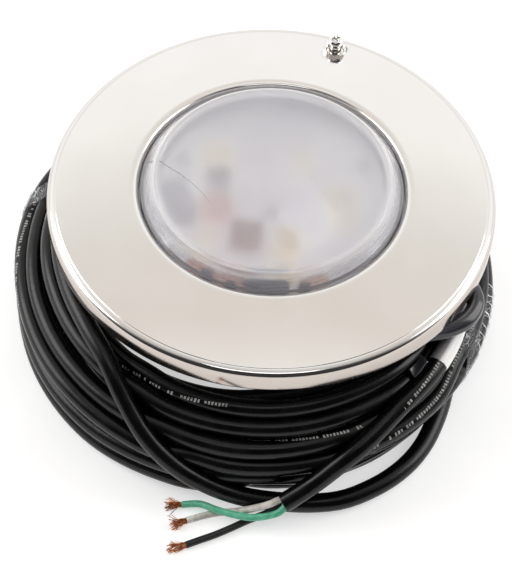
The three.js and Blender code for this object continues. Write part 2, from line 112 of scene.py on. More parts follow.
def coil_slots():
    """A radius and a height for each turn, in the order that the cord fills them, from the top."""
    slots = []
    outward = False
    for row, count in enumerate(TURNS_IN_ROWS):
        level = len(TURNS_IN_ROWS) - 1 - row
        height = 0.5 * CORD_DIAMETER + 0.0004 + level * ROW_HEIGHT
        first = TOP_TURN_RADIUS if row == 0 else COLUMN_ONE + (level % 2) * 0.5 * CORD_DIAMETER
        radii = [first + column * CORD_DIAMETER for column in range(count)]
        slots += [(radius, height) for radius in (radii if outward else radii[::-1])]
        outward = not outward
    return np.array(slots)


SLOTS = coil_slots()
print(len(SLOTS), "turns, rows from", SLOTS[:, 1].min(), "to", SLOTS[:, 1].max())

# %% The loose turn's route: radius and angle about the coil's centre, and height
LOOSE_ROUTE_MM = [
    (123.2, 347, 5.8), (124.2, 339, 5.8), (127.2, 331, 5.8), (132.0, 325, 5.8), (136.2, 320, 5.8),
    (140.6, 315, 5.8), (144.8, 309, 5.7), (147.5, 303, 5.7), (149.0, 297, 5.7), (149.6, 291, 5.7),
    (147.4, 284, 5.9), (144.9, 277.5, 6.8), (144.2, 269, 11.6), (144.2, 261.3, 20), (144.1, 254.5, 30.2),
    (140.6, 247, 42.2), (132.2, 238.5, 56), (124.4, 229.9, 67.8), (119.5, 220, 71.4), (116, 207, 71.4),
    (114, 190, 71.4), (113.5, 172, 71.4), (113.5, 154, 71.4), (113, 136, 71.4), (112.5, 118, 71.4),
    (112, 100, 71.4), (112, 82, 71.4), (112.5, 66, 71.4), (113.5, 48, 71.4), (115, 30, 71.4),
    (117, 14, 71.4), (119, 0, 70.5), (119.5, -10.5, 67), (122, -19.2, 63), (127.6, -30.4, 60),
    (131, -40.2, 57), (135.4, -53.7, 52.5), (142.4, -64.9, 43), (144.8, -69.8, 36.8),
    (146.4, -73.9, 29), (149, -78, 23), (152, -82.2, 17.4),
]
LOOSE_ROUTE = np.array([(radius * MM, angle, height * MM) for radius, angle, height in LOOSE_ROUTE_MM])
EXIT_ROUTE_MM = [(36.3, 75, 22), (42, 75, 22), (47, 73.6, 22), (51, 70.8, 22)]
EXIT_ROUTE = np.array(EXIT_ROUTE_MM) * MM


def about_coil(radius, degrees, height):
    angle = np.radians(degrees)
    return np.stack([COIL_CENTRE[0] + radius * np.cos(angle),
                     COIL_CENTRE[1] + radius * np.sin(angle),
                     height + 0 * radius], axis=-1)


# %% Relax the turns against each other
FLOOR_Z = 0.5 * CORD_DIAMETER + 0.0002
INNER_LIMIT = 0.1075
OUTER_LIMIT = 0.1345
TOP_LIMIT = 0.0600
RELAX_STEPS = 500
LAST_STEPS = 25
PUSH_SHARE = 0.6
SMOOTHING = 0.25
SINK = 0.00003
FAR_AWAY = 9.0
WANDER_SEED = 7


def left_bulge(degrees):
    """One at the coil's left, where the outer turns stand out, and nothing elsewhere."""
    return np.clip(np.cos(np.radians(degrees - 152)), 0, 1) ** 8


def outer_limit(degrees, height):
    """How far out a turn's middle may lie: less at the right front, where the coil draws in."""
    facing = np.cos(np.radians(degrees - 262))
    drawn_in = np.clip(np.cos(np.radians(degrees - 318)), 0, 1) ** 3
    low = np.clip(1 - height / 0.035, 0, 1)
    top_slope = np.clip(height - 0.036, 0, 1) * 0.75
    widest = OUTER_LIMIT + 0.0035 * facing + 0.0055 * left_bulge(degrees)
    return widest - 0.013 * drawn_in * low - top_slope


def wander(rng, count, size):
    """A slow drift along the whole cord, as a hand-wound coil has."""
    along = np.arange(count) / ANGLES_PER_TURN * 2 * math.pi
    drift = np.zeros(count)
    for waves in (0.37, 0.71, 1.3, 2.1):
        drift += rng.uniform(0.4, 1) * np.sin(waves * along + rng.uniform(0, 2 * math.pi)) / (1 + waves)
    return size * drift


def coil_turns():
    rng = np.random.default_rng(WANDER_SEED)
    skipped = int(round((COIL_END - COIL_START) % 360 / 360 * ANGLES_PER_TURN))
    turns = len(SLOTS)
    count = turns * ANGLES_PER_TURN
    index = np.arange(count)
    turn, part = index // ANGLES_PER_TURN, (index % ANGLES_PER_TURN) / ANGLES_PER_TURN
    blend = np.clip((part - 0.5) / 0.5, 0, 1)
    blend = blend * blend * (3 - 2 * blend)
    following = np.minimum(turn + 1, turns - 1)
    radius = SLOTS[turn, 0] * (1 - blend) + SLOTS[following, 0] * blend
    height = SLOTS[turn, 1] * (1 - blend) + SLOTS[following, 1] * blend
    degrees = COIL_START - 360 * index / ANGLES_PER_TURN
    radius += wander(rng, count, 0.0022)
    height += wander(rng, count, 0.0016)
    # The low turns sit towards the front and the high ones towards the back left.
    radius += 0.003 * np.cos(np.radians(degrees - 285)) * (1 - height / 0.03)
    radius += 0.006 * left_bulge(degrees) * (radius > 0.125)
    loose_angle = LOOSE_ROUTE[:, 1]
    order = np.argsort(loose_angle)
    grid = degrees[:ANGLES_PER_TURN]
    fixed = []
    for lift in (0, 360, -360):
        angle = (grid % 360) + lift
        inside = (angle > loose_angle.min()) & (angle < loose_angle.max())
        near_radius = np.interp(angle, loose_angle[order], LOOSE_ROUTE[order, 0])
        near_height = np.interp(angle, loose_angle[order], LOOSE_ROUTE[order, 2])
        fixed.append((np.where(inside, near_radius, FAR_AWAY), np.where(inside, near_height, FAR_AWAY)))
    fixed_r = np.stack([f[0] for f in fixed])
    fixed_z = np.stack([f[1] for f in fixed])
    for step in range(RELAX_STEPS):
        r = radius.reshape(turns, ANGLES_PER_TURN)
        z = height.reshape(turns, ANGLES_PER_TURN)
        move_r, move_z = np.zeros_like(r), np.zeros_like(z)
        for other_r, other_z, share in ((r, z, 0.5), (fixed_r, fixed_z, 1.0)):
            dr = r[:, None] - other_r[None]
            dz = z[:, None] - other_z[None]
            away = np.sqrt(dr ** 2 + dz ** 2)
            away[away < 1e-7] = 1e9
            push = np.clip(TURN_SPACING - away, 0, None) * share / away
            move_r += (push * dr).sum(1)
            move_z += (push * dz).sum(1)
        radius = (r + PUSH_SHARE * move_r).ravel()
        height = (z + PUSH_SHARE * move_z).ravel() - SINK
        if step < RELAX_STEPS - LAST_STEPS:
            for line in (radius, height):
                line[1:-1] += SMOOTHING * (0.5 * (line[:-2] + line[2:]) - line[1:-1])
        height = np.clip(height, FLOOR_Z, TOP_LIMIT)
        radius = np.clip(radius, INNER_LIMIT, outer_limit(degrees, height))
    last = count - skipped
    return radius[:last], degrees[:last], height[:last]


turn_radius, turn_degrees, turn_height = coil_turns()
print("coil radius", turn_radius.min().round(4), turn_radius.max().round(4), "height",
      turn_height.min().round(4), turn_height.max().round(4))

# %% One smooth line through all of it
RING_SPACING = 0.0055
LEAD_IN_MM = [(97.2, 32, 29), (97.8, 10, 41), (102, -12, 51.5), (112, -28, 55.5)]


def smooth_line(points, spacing):
    """Evenly spaced points on a smooth curve through the given ones."""
    points = np.array(points, float)
    at = np.concatenate([[0], np.cumsum(np.linalg.norm(np.diff(points, axis=0), axis=1))])
    slope = np.gradient(points, at, axis=0)
    fine = np.linspace(0, at[-1], int(at[-1] / spacing * 6) + 2)
    left = np.clip(np.searchsorted(at, fine, side="right") - 1, 0, len(at) - 2)
    span = (at[left + 1] - at[left])[:, None]
    t = (fine - at[left])[:, None] / span
    line = ((1 + 2 * t) * (1 - t) ** 2 * points[left] + t * (1 - t) ** 2 * span * slope[left]
            + t * t * (3 - 2 * t) * points[left + 1] + t * t * (t - 1) * span * slope[left + 1])
    gone = np.concatenate([[0], np.cumsum(np.linalg.norm(np.diff(line, axis=0), axis=1))])
    even = np.linspace(0, gone[-1], max(2, int(round(gone[-1] / spacing)) + 1))
    return np.stack([np.interp(even, gone, line[:, axis]) for axis in range(3)], axis=1)


def length_of(line):
    return float(np.linalg.norm(np.diff(line, axis=0), axis=1).sum())


lead_in = np.array(LEAD_IN_MM) * [MM, 1, MM]
loose_turn = about_coil(*LOOSE_ROUTE.T)
coil_line = about_coil(turn_radius, turn_degrees, turn_height)
cord_line = smooth_line(np.concatenate([
    [[0.030, 0.075, 0.022]], EXIT_ROUTE, about_coil(*lead_in.T), coil_line[1:], loose_turn]), RING_SPACING)
print("main cord", round(length_of(cord_line), 3), "m through", len(cord_line), "rings")

# %% [markdown]
# ## Round things
# Nearly every piece here is either swept along a line or turned about the light's axis, so two
# helpers make their meshes. The sweep carries its rings along without twisting them, and writes a
# UV map with metres along and turns round, which the finishes of the cord and its labels use. The
# lathe rounds each corner of its outline first: a small round is what catches a line of light.


# %% A tube swept along a line
def rings_along(line):
    """At each point of the line, two directions square to it that don't twist from one to the next."""
    ahead = np.gradient(line, axis=0)
    ahead /= np.linalg.norm(ahead, axis=1)[:, None]
    side = np.cross(ahead[0], [0, 0, 1.0])
    sides = []
    for direction in ahead:
        side = side - direction * side.dot(direction)
        side /= np.linalg.norm(side)
        sides.append(side)
    sides = np.array(sides)
    return sides, np.cross(ahead, sides)


def mesh_piece(name, points, faces, uv=None, sharp_degrees=38):
    """A smooth-shaded piece whose faces point outwards and whose sharp edges stay crisp."""
    mesh = bpy.data.meshes.new(name)
    mesh.from_pydata([tuple(p) for p in points], [], faces)
    if uv is not None:
        layer = mesh.uv_layers.new(name="along")
        layer.data.foreach_set("uv", np.array(uv, float).ravel())
    work = bmesh.new()
    work.from_mesh(mesh)
    bmesh.ops.remove_doubles(work, verts=work.verts, dist=1e-7)
    bmesh.ops.recalc_face_normals(work, faces=work.faces)
    for face in work.faces:
        face.smooth = True
    for edge in work.edges:
        if len(edge.link_faces) == 2 and edge.calc_face_angle(0) > math.radians(sharp_degrees):
            edge.smooth = False
    work.to_mesh(mesh)
    work.free()
    piece = bpy.data.objects.new(name, mesh)
    bpy.context.scene.collection.objects.link(piece)
    return piece


def sweep(name, line, radii, sides=18, sharp_degrees=50):
    """A closed round tube; radii is one number, one for each ring, or one for each point."""
    line = np.array(line)
    count = len(line)
    across, over = rings_along(line)
    turn = np.linspace(0, 2 * math.pi, sides, endpoint=False)
    radii = np.broadcast_to(np.array(radii, float).reshape(-1, 1) if np.ndim(radii) == 1
                            else np.array(radii, float), (count, sides))
    rings = line[:, None] + radii[..., None] * (
        np.cos(turn)[None, :, None] * across[:, None] + np.sin(turn)[None, :, None] * over[:, None])
    gone = np.concatenate([[0], np.cumsum(np.linalg.norm(np.diff(line, axis=0), axis=1))])
    faces, uv = [], []
    for i in range(count - 1):
        for j in range(sides):
            k = (j + 1) % sides
            faces.append((i * sides + j, i * sides + k, (i + 1) * sides + k, (i + 1) * sides + j))
            left, right = j / sides, (j + 1) / sides
            uv += [(gone[i], left), (gone[i], right), (gone[i + 1], right), (gone[i + 1], left)]
    for ring, at in ((range(sides), 0.0), (range((count - 1) * sides, count * sides), gone[-1])):
        faces.append(tuple(ring))
        uv += [(at, j / sides) for j in range(sides)]
    return mesh_piece(name, rings.reshape(-1, 3), faces, uv, sharp_degrees)


# %% A piece turned on a lathe
def round_corners(outline, radius, steps=4):
    """The closed outline again, with each corner made a small arc."""
    outline = [Vector(p) for p in outline]
    rounded = []
    for i, corner in enumerate(outline):
        before, after = outline[i - 1] - corner, outline[(i + 1) % len(outline)] - corner
        if corner.x < 1e-6:
            rounded.append(tuple(corner))
            continue
        reach = min(radius, 0.45 * before.length, 0.45 * after.length)
        start, end = corner + before.normalized() * reach, corner + after.normalized() * reach
        for k in range(steps + 1):
            t = k / steps
            rounded.append(tuple((1 - t) ** 2 * start + 2 * t * (1 - t) * corner + t * t * end))
    return rounded


def lathe(name, outline_mm, round_mm=0.3, steps=192, centre=(0, 0)):
    """A closed outline of radius and height in millimetres, turned about an upright line."""
    outline = round_corners(outline_mm, round_mm) if round_mm else outline_mm
    count = len(outline)
    points, faces = [], []
    for i in range(steps):
        angle = 2 * math.pi * i / steps
        for radius, height in outline:
            points.append(((centre[0] + radius * math.cos(angle)) * MM,
                           (centre[1] + radius * math.sin(angle)) * MM, height * MM))
        for j in range(count):
            k, after = (j + 1) % count, (i + 1) % steps
            faces.append((i * count + j, after * count + j, after * count + k, i * count + k))
    return mesh_piece(name, points, faces)


# %% [markdown]
# ## Cut, and make plain
# Two last mesh helpers: one takes a bite out of a piece with another, as a drill or a mill does,
# and one turns a finished modifier result into a plain mesh.


# %% Apply modifiers, and cut
def make_plain(piece):
    """Replaces a piece's mesh by what its modifiers make of it."""
    view = bpy.context.evaluated_depsgraph_get()
    plain = bpy.data.meshes.new_from_object(piece.evaluated_get(view))
    piece.modifiers.clear()
    piece.data = plain
    return piece


def cut_with(piece, *tools):
    for tool in tools:
        bite = piece.modifiers.new("bite", "BOOLEAN")
        bite.operation = "DIFFERENCE"
        bite.object = tool
        make_plain(piece)
        bpy.data.objects.remove(tool)
    return piece


# %% [markdown]
# ## Finishes
# Each finish starts from what the real surface is. A small function adds a node with its settings
# and links, another turns a colour code into the linear light that shaders use.


# %% Node and colour helpers
def colour(code):
    """A colour code such as #C8C4BE as linear red, green, blue and full opacity."""
    parts = [int(code[i:i + 2], 16) / 255 for i in (1, 3, 5)]
    return tuple(c / 12.92 if c <= 0.04045 else ((c + 0.055) / 1.055) ** 2.4 for c in parts) + (1.0,)


def add_node(tree, kind, inputs=None, stops=(), **settings):
    """Adds one node. inputs maps a socket's name or number to a value or to another node's socket;
    stops are a colour ramp's places and colour codes."""
    made = tree.nodes.new(kind)
    for setting, value in settings.items():
        setattr(made, setting, value)
    for place, value in (inputs or {}).items():
        if isinstance(value, bpy.types.NodeSocket):
            tree.links.new(value, made.inputs[place])
        else:
            made.inputs[place].default_value = value
    if stops:
        elements = made.color_ramp.elements
        while len(elements) < len(stops):
            elements.new(0.5)
        for element, (place, code) in zip(elements, stops):
            element.position = place
            element.color = colour(code)
    return made


def start_finish(name, **sockets):
    """A new material, its tree and its shader, with plain values set on the shader's sockets."""
    material = bpy.data.materials.new(name)
    material.use_nodes = True
    shader = material.node_tree.nodes["Principled BSDF"]
    for socket, value in sockets.items():
        shader.inputs[socket.replace("_", " ")].default_value = value
    return material, material.node_tree, shader


def give(piece, material):
    piece.data.materials.clear()
    piece.data.materials.append(material)
    return piece


# %% [markdown]
# ### Extruded black PVC
# The jacket is soft black PVC with a satin skin. The eye gets a nearly black strand with a soft
# grey line of light along it, a faint dust, and a broken row of tiny pale ticks where the maker
# prints along the cord. The ticks here say nothing.

# %% The cord's jacket
TICK_STEP_MM = 1.9
TICK_GROUP_MM = 310.0


def black_pvc():
    material, tree, shader = start_finish("extruded_black_pvc", IOR=1.5, Specular_IOR_Level=0.3)
    metres = add_node(tree, "ShaderNodeUVMap", uv_map="along")
    place = add_node(tree, "ShaderNodeSeparateXYZ", {0: metres.outputs[0]})
    along, around = place.outputs[0], place.outputs[1]
    here = add_node(tree, "ShaderNodeTexCoord").outputs["Object"]
    letter = add_node(tree, "ShaderNodeMath", {0: along, 1: 1000 / TICK_STEP_MM}, operation="MULTIPLY")
    within = add_node(tree, "ShaderNodeMath", {0: letter.outputs[0]}, operation="FRACT")
    stroke = add_node(tree, "ShaderNodeMath", {0: within.outputs[0], 1: 0.62}, operation="LESS_THAN")
    number = add_node(tree, "ShaderNodeMath", {0: letter.outputs[0]}, operation="FLOOR")
    chance = add_node(tree, "ShaderNodeTexWhiteNoise", {"W": number.outputs[0]}, noise_dimensions="1D")
    kept = add_node(tree, "ShaderNodeMath", {0: chance.outputs["Value"], 1: 0.2}, operation="GREATER_THAN")
    group = add_node(tree, "ShaderNodeMath", {0: along, 1: 1000 / TICK_GROUP_MM}, operation="MULTIPLY")
    part = add_node(tree, "ShaderNodeMath", {0: group.outputs[0]}, operation="FRACT")
    printed = add_node(tree, "ShaderNodeMath", {0: part.outputs[0], 1: 0.45}, operation="LESS_THAN")
    drift = add_node(tree, "ShaderNodeTexNoise", {"W": along, "Scale": 2.3, "Detail": 0.0},
                     noise_dimensions="1D")
    middle = add_node(tree, "ShaderNodeMapRange", {"Value": drift.outputs[0], "From Min": 0.3,
                                                   "From Max": 0.7, "To Min": 0.0, "To Max": 1.0})
    off = add_node(tree, "ShaderNodeMath", {0: around, 1: middle.outputs[0]}, operation="SUBTRACT")
    off = add_node(tree, "ShaderNodeMath", {0: off.outputs[0]}, operation="ABSOLUTE")
    tall = add_node(tree, "ShaderNodeMapRange", {"Value": chance.outputs["Value"], "To Min": 0.017,
                                                 "To Max": 0.032})
    in_row = add_node(tree, "ShaderNodeMath", {0: off.outputs[0], 1: tall.outputs[0]},
                      operation="LESS_THAN")
    ticks = stroke
    for more in (kept, printed, in_row):
        ticks = add_node(tree, "ShaderNodeMath", {0: ticks.outputs[0], 1: more.outputs[0]},
                         operation="MULTIPLY")
    worn = add_node(tree, "ShaderNodeTexNoise", {"Vector": here, "Scale": 900.0, "Detail": 2.0})
    faded = add_node(tree, "ShaderNodeMapRange", {"Value": worn.outputs[0], "From Min": 0.38,
                                                  "From Max": 0.6, "To Min": 0.35, "To Max": 0.95})
    ink = add_node(tree, "ShaderNodeMath", {0: ticks.outputs[0], 1: faded.outputs[0]},
                   operation="MULTIPLY")
    dust = add_node(tree, "ShaderNodeTexNoise", {"Vector": here, "Scale": 60.0, "Detail": 5.0,
                                                 "Roughness": 0.65})
    jacket = add_node(tree, "ShaderNodeValToRGB", {"Fac": dust.outputs[0]}, [
        (0.35, "#030304"), (0.7, "#0A0A0C")]).outputs[0]
    painted = add_node(tree, "ShaderNodeMix", {0: ink.outputs[0], 6: jacket, 7: colour("#B9B9B6")},
                       data_type="RGBA")
    tree.links.new(painted.outputs[2], shader.inputs["Base Color"])
    satin = add_node(tree, "ShaderNodeMapRange", {"Value": dust.outputs[0], "From Min": 0.3,
                                                  "From Max": 0.7, "To Min": 0.20, "To Max": 0.32})
    tree.links.new(satin.outputs[0], shader.inputs["Roughness"])
    ripple = add_node(tree, "ShaderNodeTexNoise", {"Vector": here, "Scale": 120.0, "Detail": 3.0})
    bump = add_node(tree, "ShaderNodeBump", {"Height": ripple.outputs[0], "Strength": 0.25,
                                             "Distance": 0.0004})
    tree.links.new(bump.outputs[0], shader.inputs["Normal"])
    return material


JACKET = black_pvc()
main_cord = give(sweep("main_cord", cord_line, 0.5 * CORD_DIAMETER), JACKET)
print("main cord faces", len(main_cord.data.polygons))

# %% [markdown]
# ## The cut end
# The jacket is stripped back and three insulated conductors come out, white, green and black,
# each about 4 mm across. The green one lies over the white one. Each ends in a tuft of fine copper
# strands. Insulation is the same soft PVC, so it shares the jacket's satin without its ticks.

# %% The three conductors
CONDUCTOR_DIAMETER = 0.004
JACKET_END = tuple(loose_turn[-1])
CONDUCTOR_ROUTES_MM = {
    "white": [(13, -156.1, 18.3), (7.1, -158.4, 16.8), (-2.6, -159.2, 12.2), (-8.6, -158.2, 8),
              (-14.5, -157.6, 5), (-21, -157.5, 3.4), (-29, -159.2, 2.4), (-38.6, -162.8, 2.3)],
    "green": [(15.2, -159.6, 16.4), (12.8, -161.4, 14.2), (6.4, -162.6, 11.2), (-2.3, -163.2, 9.5),
              (-11.7, -162.1, 9.5), (-21.1, -159.2, 8.6), (-32.4, -153.7, 5.4), (-41.4, -152.8, 2.4)],
    "black": [(15.2, -157.4, 14.9), (9.5, -157.9, 9.4), (3, -159, 5.6), (-5.6, -161.6, 2.5),
              (-14.1, -166.5, 2.3), (-22.7, -171.2, 2.3), (-30.7, -174.9, 2.3), (-38.1, -178.4, 2.3)],
}
BARE_ENDS_MM = {"white": (-47.1, -167, 2.2), "green": (-51.3, -154, 2.2), "black": (-48.4, -180.2, 2.2)}
INSULATION_CODES = {"white": ("#C9C3BC", "#E4DFD8"), "green": ("#4FAE8B", "#6CC6A2"),
                    "black": ("#0A0A0B", "#17171A")}


def insulation(name, codes):
    material, tree, shader = start_finish(name + "_pvc_insulation", Roughness=0.42, IOR=1.52)
    here = add_node(tree, "ShaderNodeTexCoord").outputs["Object"]
    dust = add_node(tree, "ShaderNodeTexNoise", {"Vector": here, "Scale": 260.0, "Detail": 4.0})
    tone = add_node(tree, "ShaderNodeValToRGB", {"Fac": dust.outputs[0]}, [
        (0.35, codes[0]), (0.62, codes[1])])
    tree.links.new(tone.outputs[0], shader.inputs["Base Color"])
    bump = add_node(tree, "ShaderNodeBump", {"Height": dust.outputs[0], "Strength": 0.2,
                                             "Distance": 0.0002})
    tree.links.new(bump.outputs[0], shader.inputs["Normal"])
    return material


conductors, conductor_lines = {}, {}
for name, route in CONDUCTOR_ROUTES_MM.items():
    first = np.array(route[0])
    back = first + (np.array(JACKET_END) / MM - np.array(route[1])) * 0.25
    conductor_lines[name] = smooth_line(np.concatenate([[back], route]) * MM, 0.001)
    piece = sweep("conductor_" + name + "_insulated", conductor_lines[name], 0.5 * CONDUCTOR_DIAMETER, 20)
    conductors[name] = give(piece, insulation(name, INSULATION_CODES[name]))
    print(name, round(length_of(conductor_lines[name]) * 1000, 1), "mm")

# %% [markdown]
# Forty-one fine strands leave each conductor, bunched at first and then fraying. Drawing them one
# by one would be slow, so a Geometry Nodes tree makes them: it scatters the strands' roots over the
# conductor's end, bends each one its own way, and gives it thickness.


# %% A tree that makes frayed strands
def frayed_strands():
    tree = bpy.data.node_groups.new("frayed_strands", "GeometryNodeTree")
    sockets = tree.interface
    for name, kind, value in (("Strands", "NodeSocketInt", 41), ("Length", "NodeSocketFloat", 0.01),
                              ("Bunch Radius", "NodeSocketFloat", 0.0016),
                              ("Spread", "NodeSocketFloat", 0.0012), ("Twist", "NodeSocketFloat", 2.2),
                              ("Strand Radius", "NodeSocketFloat", 0.00019), ("Seed", "NodeSocketInt", 1)):
        made = sockets.new_socket(name, in_out="INPUT", socket_type=kind)
        made.default_value = value
    sockets.new_socket("Finish", in_out="INPUT", socket_type="NodeSocketMaterial")
    sockets.new_socket("Geometry", in_out="OUTPUT", socket_type="NodeSocketGeometry")
    given = add_node(tree, "NodeGroupInput").outputs
    tip = add_node(tree, "ShaderNodeCombineXYZ", {2: given["Length"]})
    line = add_node(tree, "GeometryNodeCurvePrimitiveLine", {"End": tip.outputs[0]})
    line = add_node(tree, "GeometryNodeResampleCurve", {"Curve": line.outputs[0], "Count": 12})
    roots = add_node(tree, "GeometryNodePoints", {"Count": given["Strands"]})
    copies = add_node(tree, "GeometryNodeInstanceOnPoints", {"Points": roots.outputs[0],
                                                             "Instance": line.outputs[0]})
    strands = add_node(tree, "GeometryNodeRealizeInstances", {0: copies.outputs[0]})
    place = add_node(tree, "GeometryNodeInputIndex")
    strand = add_node(tree, "ShaderNodeMath", {0: place.outputs[0], 1: 12.0}, operation="DIVIDE")
    strand = add_node(tree, "ShaderNodeMath", {0: strand.outputs[0]}, operation="FLOOR")
    here = add_node(tree, "GeometryNodeSplineParameter").outputs["Factor"]
    angle = add_node(tree, "FunctionNodeRandomValue", {2: 0.0, 3: 2 * math.pi, "ID": strand.outputs[0],
                                                       "Seed": given["Seed"]}, data_type="FLOAT")
    turned = add_node(tree, "ShaderNodeMath", {0: here, 1: given["Twist"], 2: angle.outputs[1]},
                      operation="MULTIPLY_ADD")
    share = add_node(tree, "FunctionNodeRandomValue", {2: 0.05, 3: 1.0, "ID": strand.outputs[0],
                                                       "Seed": 11}, data_type="FLOAT")
    share = add_node(tree, "ShaderNodeMath", {0: share.outputs[1], 1: 0.5}, operation="POWER")
    reach = add_node(tree, "ShaderNodeMath", {0: share.outputs[0], 1: given["Bunch Radius"]},
                     operation="MULTIPLY")
    fray = add_node(tree, "ShaderNodeMath", {0: here, 1: 2.4}, operation="POWER")
    wild = add_node(tree, "FunctionNodeRandomValue", {2: 0.0, 3: 1.0, "ID": strand.outputs[0],
                                                      "Seed": 23}, data_type="FLOAT")
    wild = add_node(tree, "ShaderNodeMath", {0: wild.outputs[1], 1: 4.0}, operation="POWER")
    wild = add_node(tree, "ShaderNodeMath", {0: wild.outputs[0], 1: 3.0, 2: 0.35},
                    operation="MULTIPLY_ADD")
    fray = add_node(tree, "ShaderNodeMath", {0: fray.outputs[0], 1: wild.outputs[0]},
                    operation="MULTIPLY")
    reach = add_node(tree, "ShaderNodeMath", {0: fray.outputs[0], 1: given["Spread"],
                                              2: reach.outputs[0]}, operation="MULTIPLY_ADD")
    x = add_node(tree, "ShaderNodeMath", {0: turned.outputs[0]}, operation="COSINE")
    y = add_node(tree, "ShaderNodeMath", {0: turned.outputs[0]}, operation="SINE")
    round_it = add_node(tree, "ShaderNodeCombineXYZ", {0: x.outputs[0], 1: y.outputs[0]})
    out = add_node(tree, "ShaderNodeVectorMath", {0: round_it.outputs[0], "Scale": reach.outputs[0]},
                   operation="SCALE")
    short = add_node(tree, "FunctionNodeRandomValue", {2: -0.28, 3: 0.0, "ID": strand.outputs[0],
                                                       "Seed": 31}, data_type="FLOAT")
    short = add_node(tree, "ShaderNodeMath", {0: short.outputs[1], 1: here}, operation="MULTIPLY")
    short = add_node(tree, "ShaderNodeMath", {0: short.outputs[0], 1: given["Length"]},
                     operation="MULTIPLY")
    down = add_node(tree, "ShaderNodeCombineXYZ", {2: short.outputs[0]})
    move = add_node(tree, "ShaderNodeVectorMath", {0: out.outputs[0], 1: down.outputs[0]},
                    operation="ADD")
    bent = add_node(tree, "GeometryNodeSetPosition", {0: strands.outputs[0], "Offset": move.outputs[0]})
    section = add_node(tree, "GeometryNodeCurvePrimitiveCircle", {"Resolution": 6,
                                                                  "Radius": given["Strand Radius"]})
    wire = add_node(tree, "GeometryNodeCurveToMesh", {"Curve": bent.outputs[0],
                                                      "Profile Curve": section.outputs[0],
                                                      "Fill Caps": True})
    real = add_node(tree, "GeometryNodeRealizeInstances", {0: wire.outputs[0]})
    shown = add_node(tree, "GeometryNodeSetMaterial", {"Geometry": real.outputs[0],
                                                       "Material": given["Finish"]})
    add_node(tree, "NodeGroupOutput", {0: shown.outputs[0]})
    return tree


def from_tree(name, tree, **values):
    """A plain mesh made by a tree; values are its named inputs, with _ for a space."""
    piece = bpy.data.objects.new(name, bpy.data.meshes.new(name))
    bpy.context.scene.collection.objects.link(piece)
    made = piece.modifiers.new(name, "NODES")
    made.node_group = tree
    for item in tree.interface.items_tree:
        if item.in_out == "INPUT" and item.name.replace(" ", "_") in values:
            made[item.identifier] = values[item.name.replace(" ", "_")]
    return make_plain(piece)


# %% Copper
def copper_strand():
    """Bare drawn copper, dulled by air: orange brown, with darker strands and a soft shine."""
    material, tree, shader = start_finish("drawn_copper_strand", Metallic=1.0, Roughness=0.38)
    here = add_node(tree, "ShaderNodeTexCoord").outputs["Object"]
    tint = add_node(tree, "ShaderNodeTexNoise", {"Vector": here, "Scale": 700.0, "Detail": 3.0})
    tone = add_node(tree, "ShaderNodeValToRGB", {"Fac": tint.outputs[0]}, [
        (0.32, "#7A3E22"), (0.5, "#C27B50"), (0.7, "#E9B08A")])
    tree.links.new(tone.outputs[0], shader.inputs["Base Color"])
    return material


COPPER = copper_strand()
STRANDS = frayed_strands()
coppers = {}
for seed, (name, tip) in enumerate(BARE_ENDS_MM.items()):
    start = conductor_lines[name][-1]
    lean = conductor_lines[name][-1] - conductor_lines[name][-5]
    aim = Vector(np.array(tip) * MM - start).normalized()
    aim = (aim + 0.5 * Vector(lean).normalized()).normalized()
    length = float(np.linalg.norm(np.array(tip) * MM - start)) + 0.0025
    tuft = from_tree("copper_" + name + "_strands", STRANDS, Length=length, Seed=seed + 3,
                     Spread=0.0019, Finish=COPPER)
    turn = aim.to_track_quat("Z", "Y").to_matrix().to_4x4()
    tuft.data.transform(Matrix.Translation(Vector(start) - 0.002 * aim) @ turn)
    for vertex in tuft.data.vertices:
        vertex.co.z = max(vertex.co.z, 0.0003 + 0.15 * max(0.0, vertex.co.z))
    tuft.data.shade_smooth()
    coppers[name] = tuft
    print("copper", name, round(length * 1000, 1), "mm", len(tuft.data.polygons), "faces")

# %% [markdown]
# ## The face ring
# The ring is stainless sheet, spun over a form and then polished: a shallow cone, a lip that turns
# up against the lens, a round shoulder and a rolled hem. Its outline is turned on the lathe, and a
# hole is cut for the screw's cup. A polished metal shows what is round it, so its colour comes
# mostly from the world: white behind, and a warmer grey high up.

# %% The ring's mesh
LAMP_TURN = math.radians(-17)
SCREW_PLACE = (-115 * math.sin(LAMP_TURN), 115 * math.cos(LAMP_TURN))
RING_OUTLINE_MM = [
    (75.2, 94.5), (75.2, 97.2), (76.3, 98.9), (78, 99.6), (80, 99.7), (101, 97.45), (122.0, 95.1),
    (122.35, 94.78), (122.8, 94.9), (125.6, 93.9),
    (127, 91), (127, 82), (126.3, 81), (122.8, 81), (122.8, 82.5), (125.5, 82.5), (125.5, 90.8),
    (124.5, 92.8), (122.5, 93.5), (101, 95.95), (80, 98.2), (77.6, 97.6), (76.7, 96.6), (76.7, 94.5),
]
ring = lathe("face_ring_spun", RING_OUTLINE_MM, 1.6, 256)
drill = lathe("drill", [(0, 80), (6.4, 80), (6.4, 110), (0, 110)], 0, 64, SCREW_PLACE)
cut_with(ring, drill)
print("ring", len(ring.data.polygons), "faces")


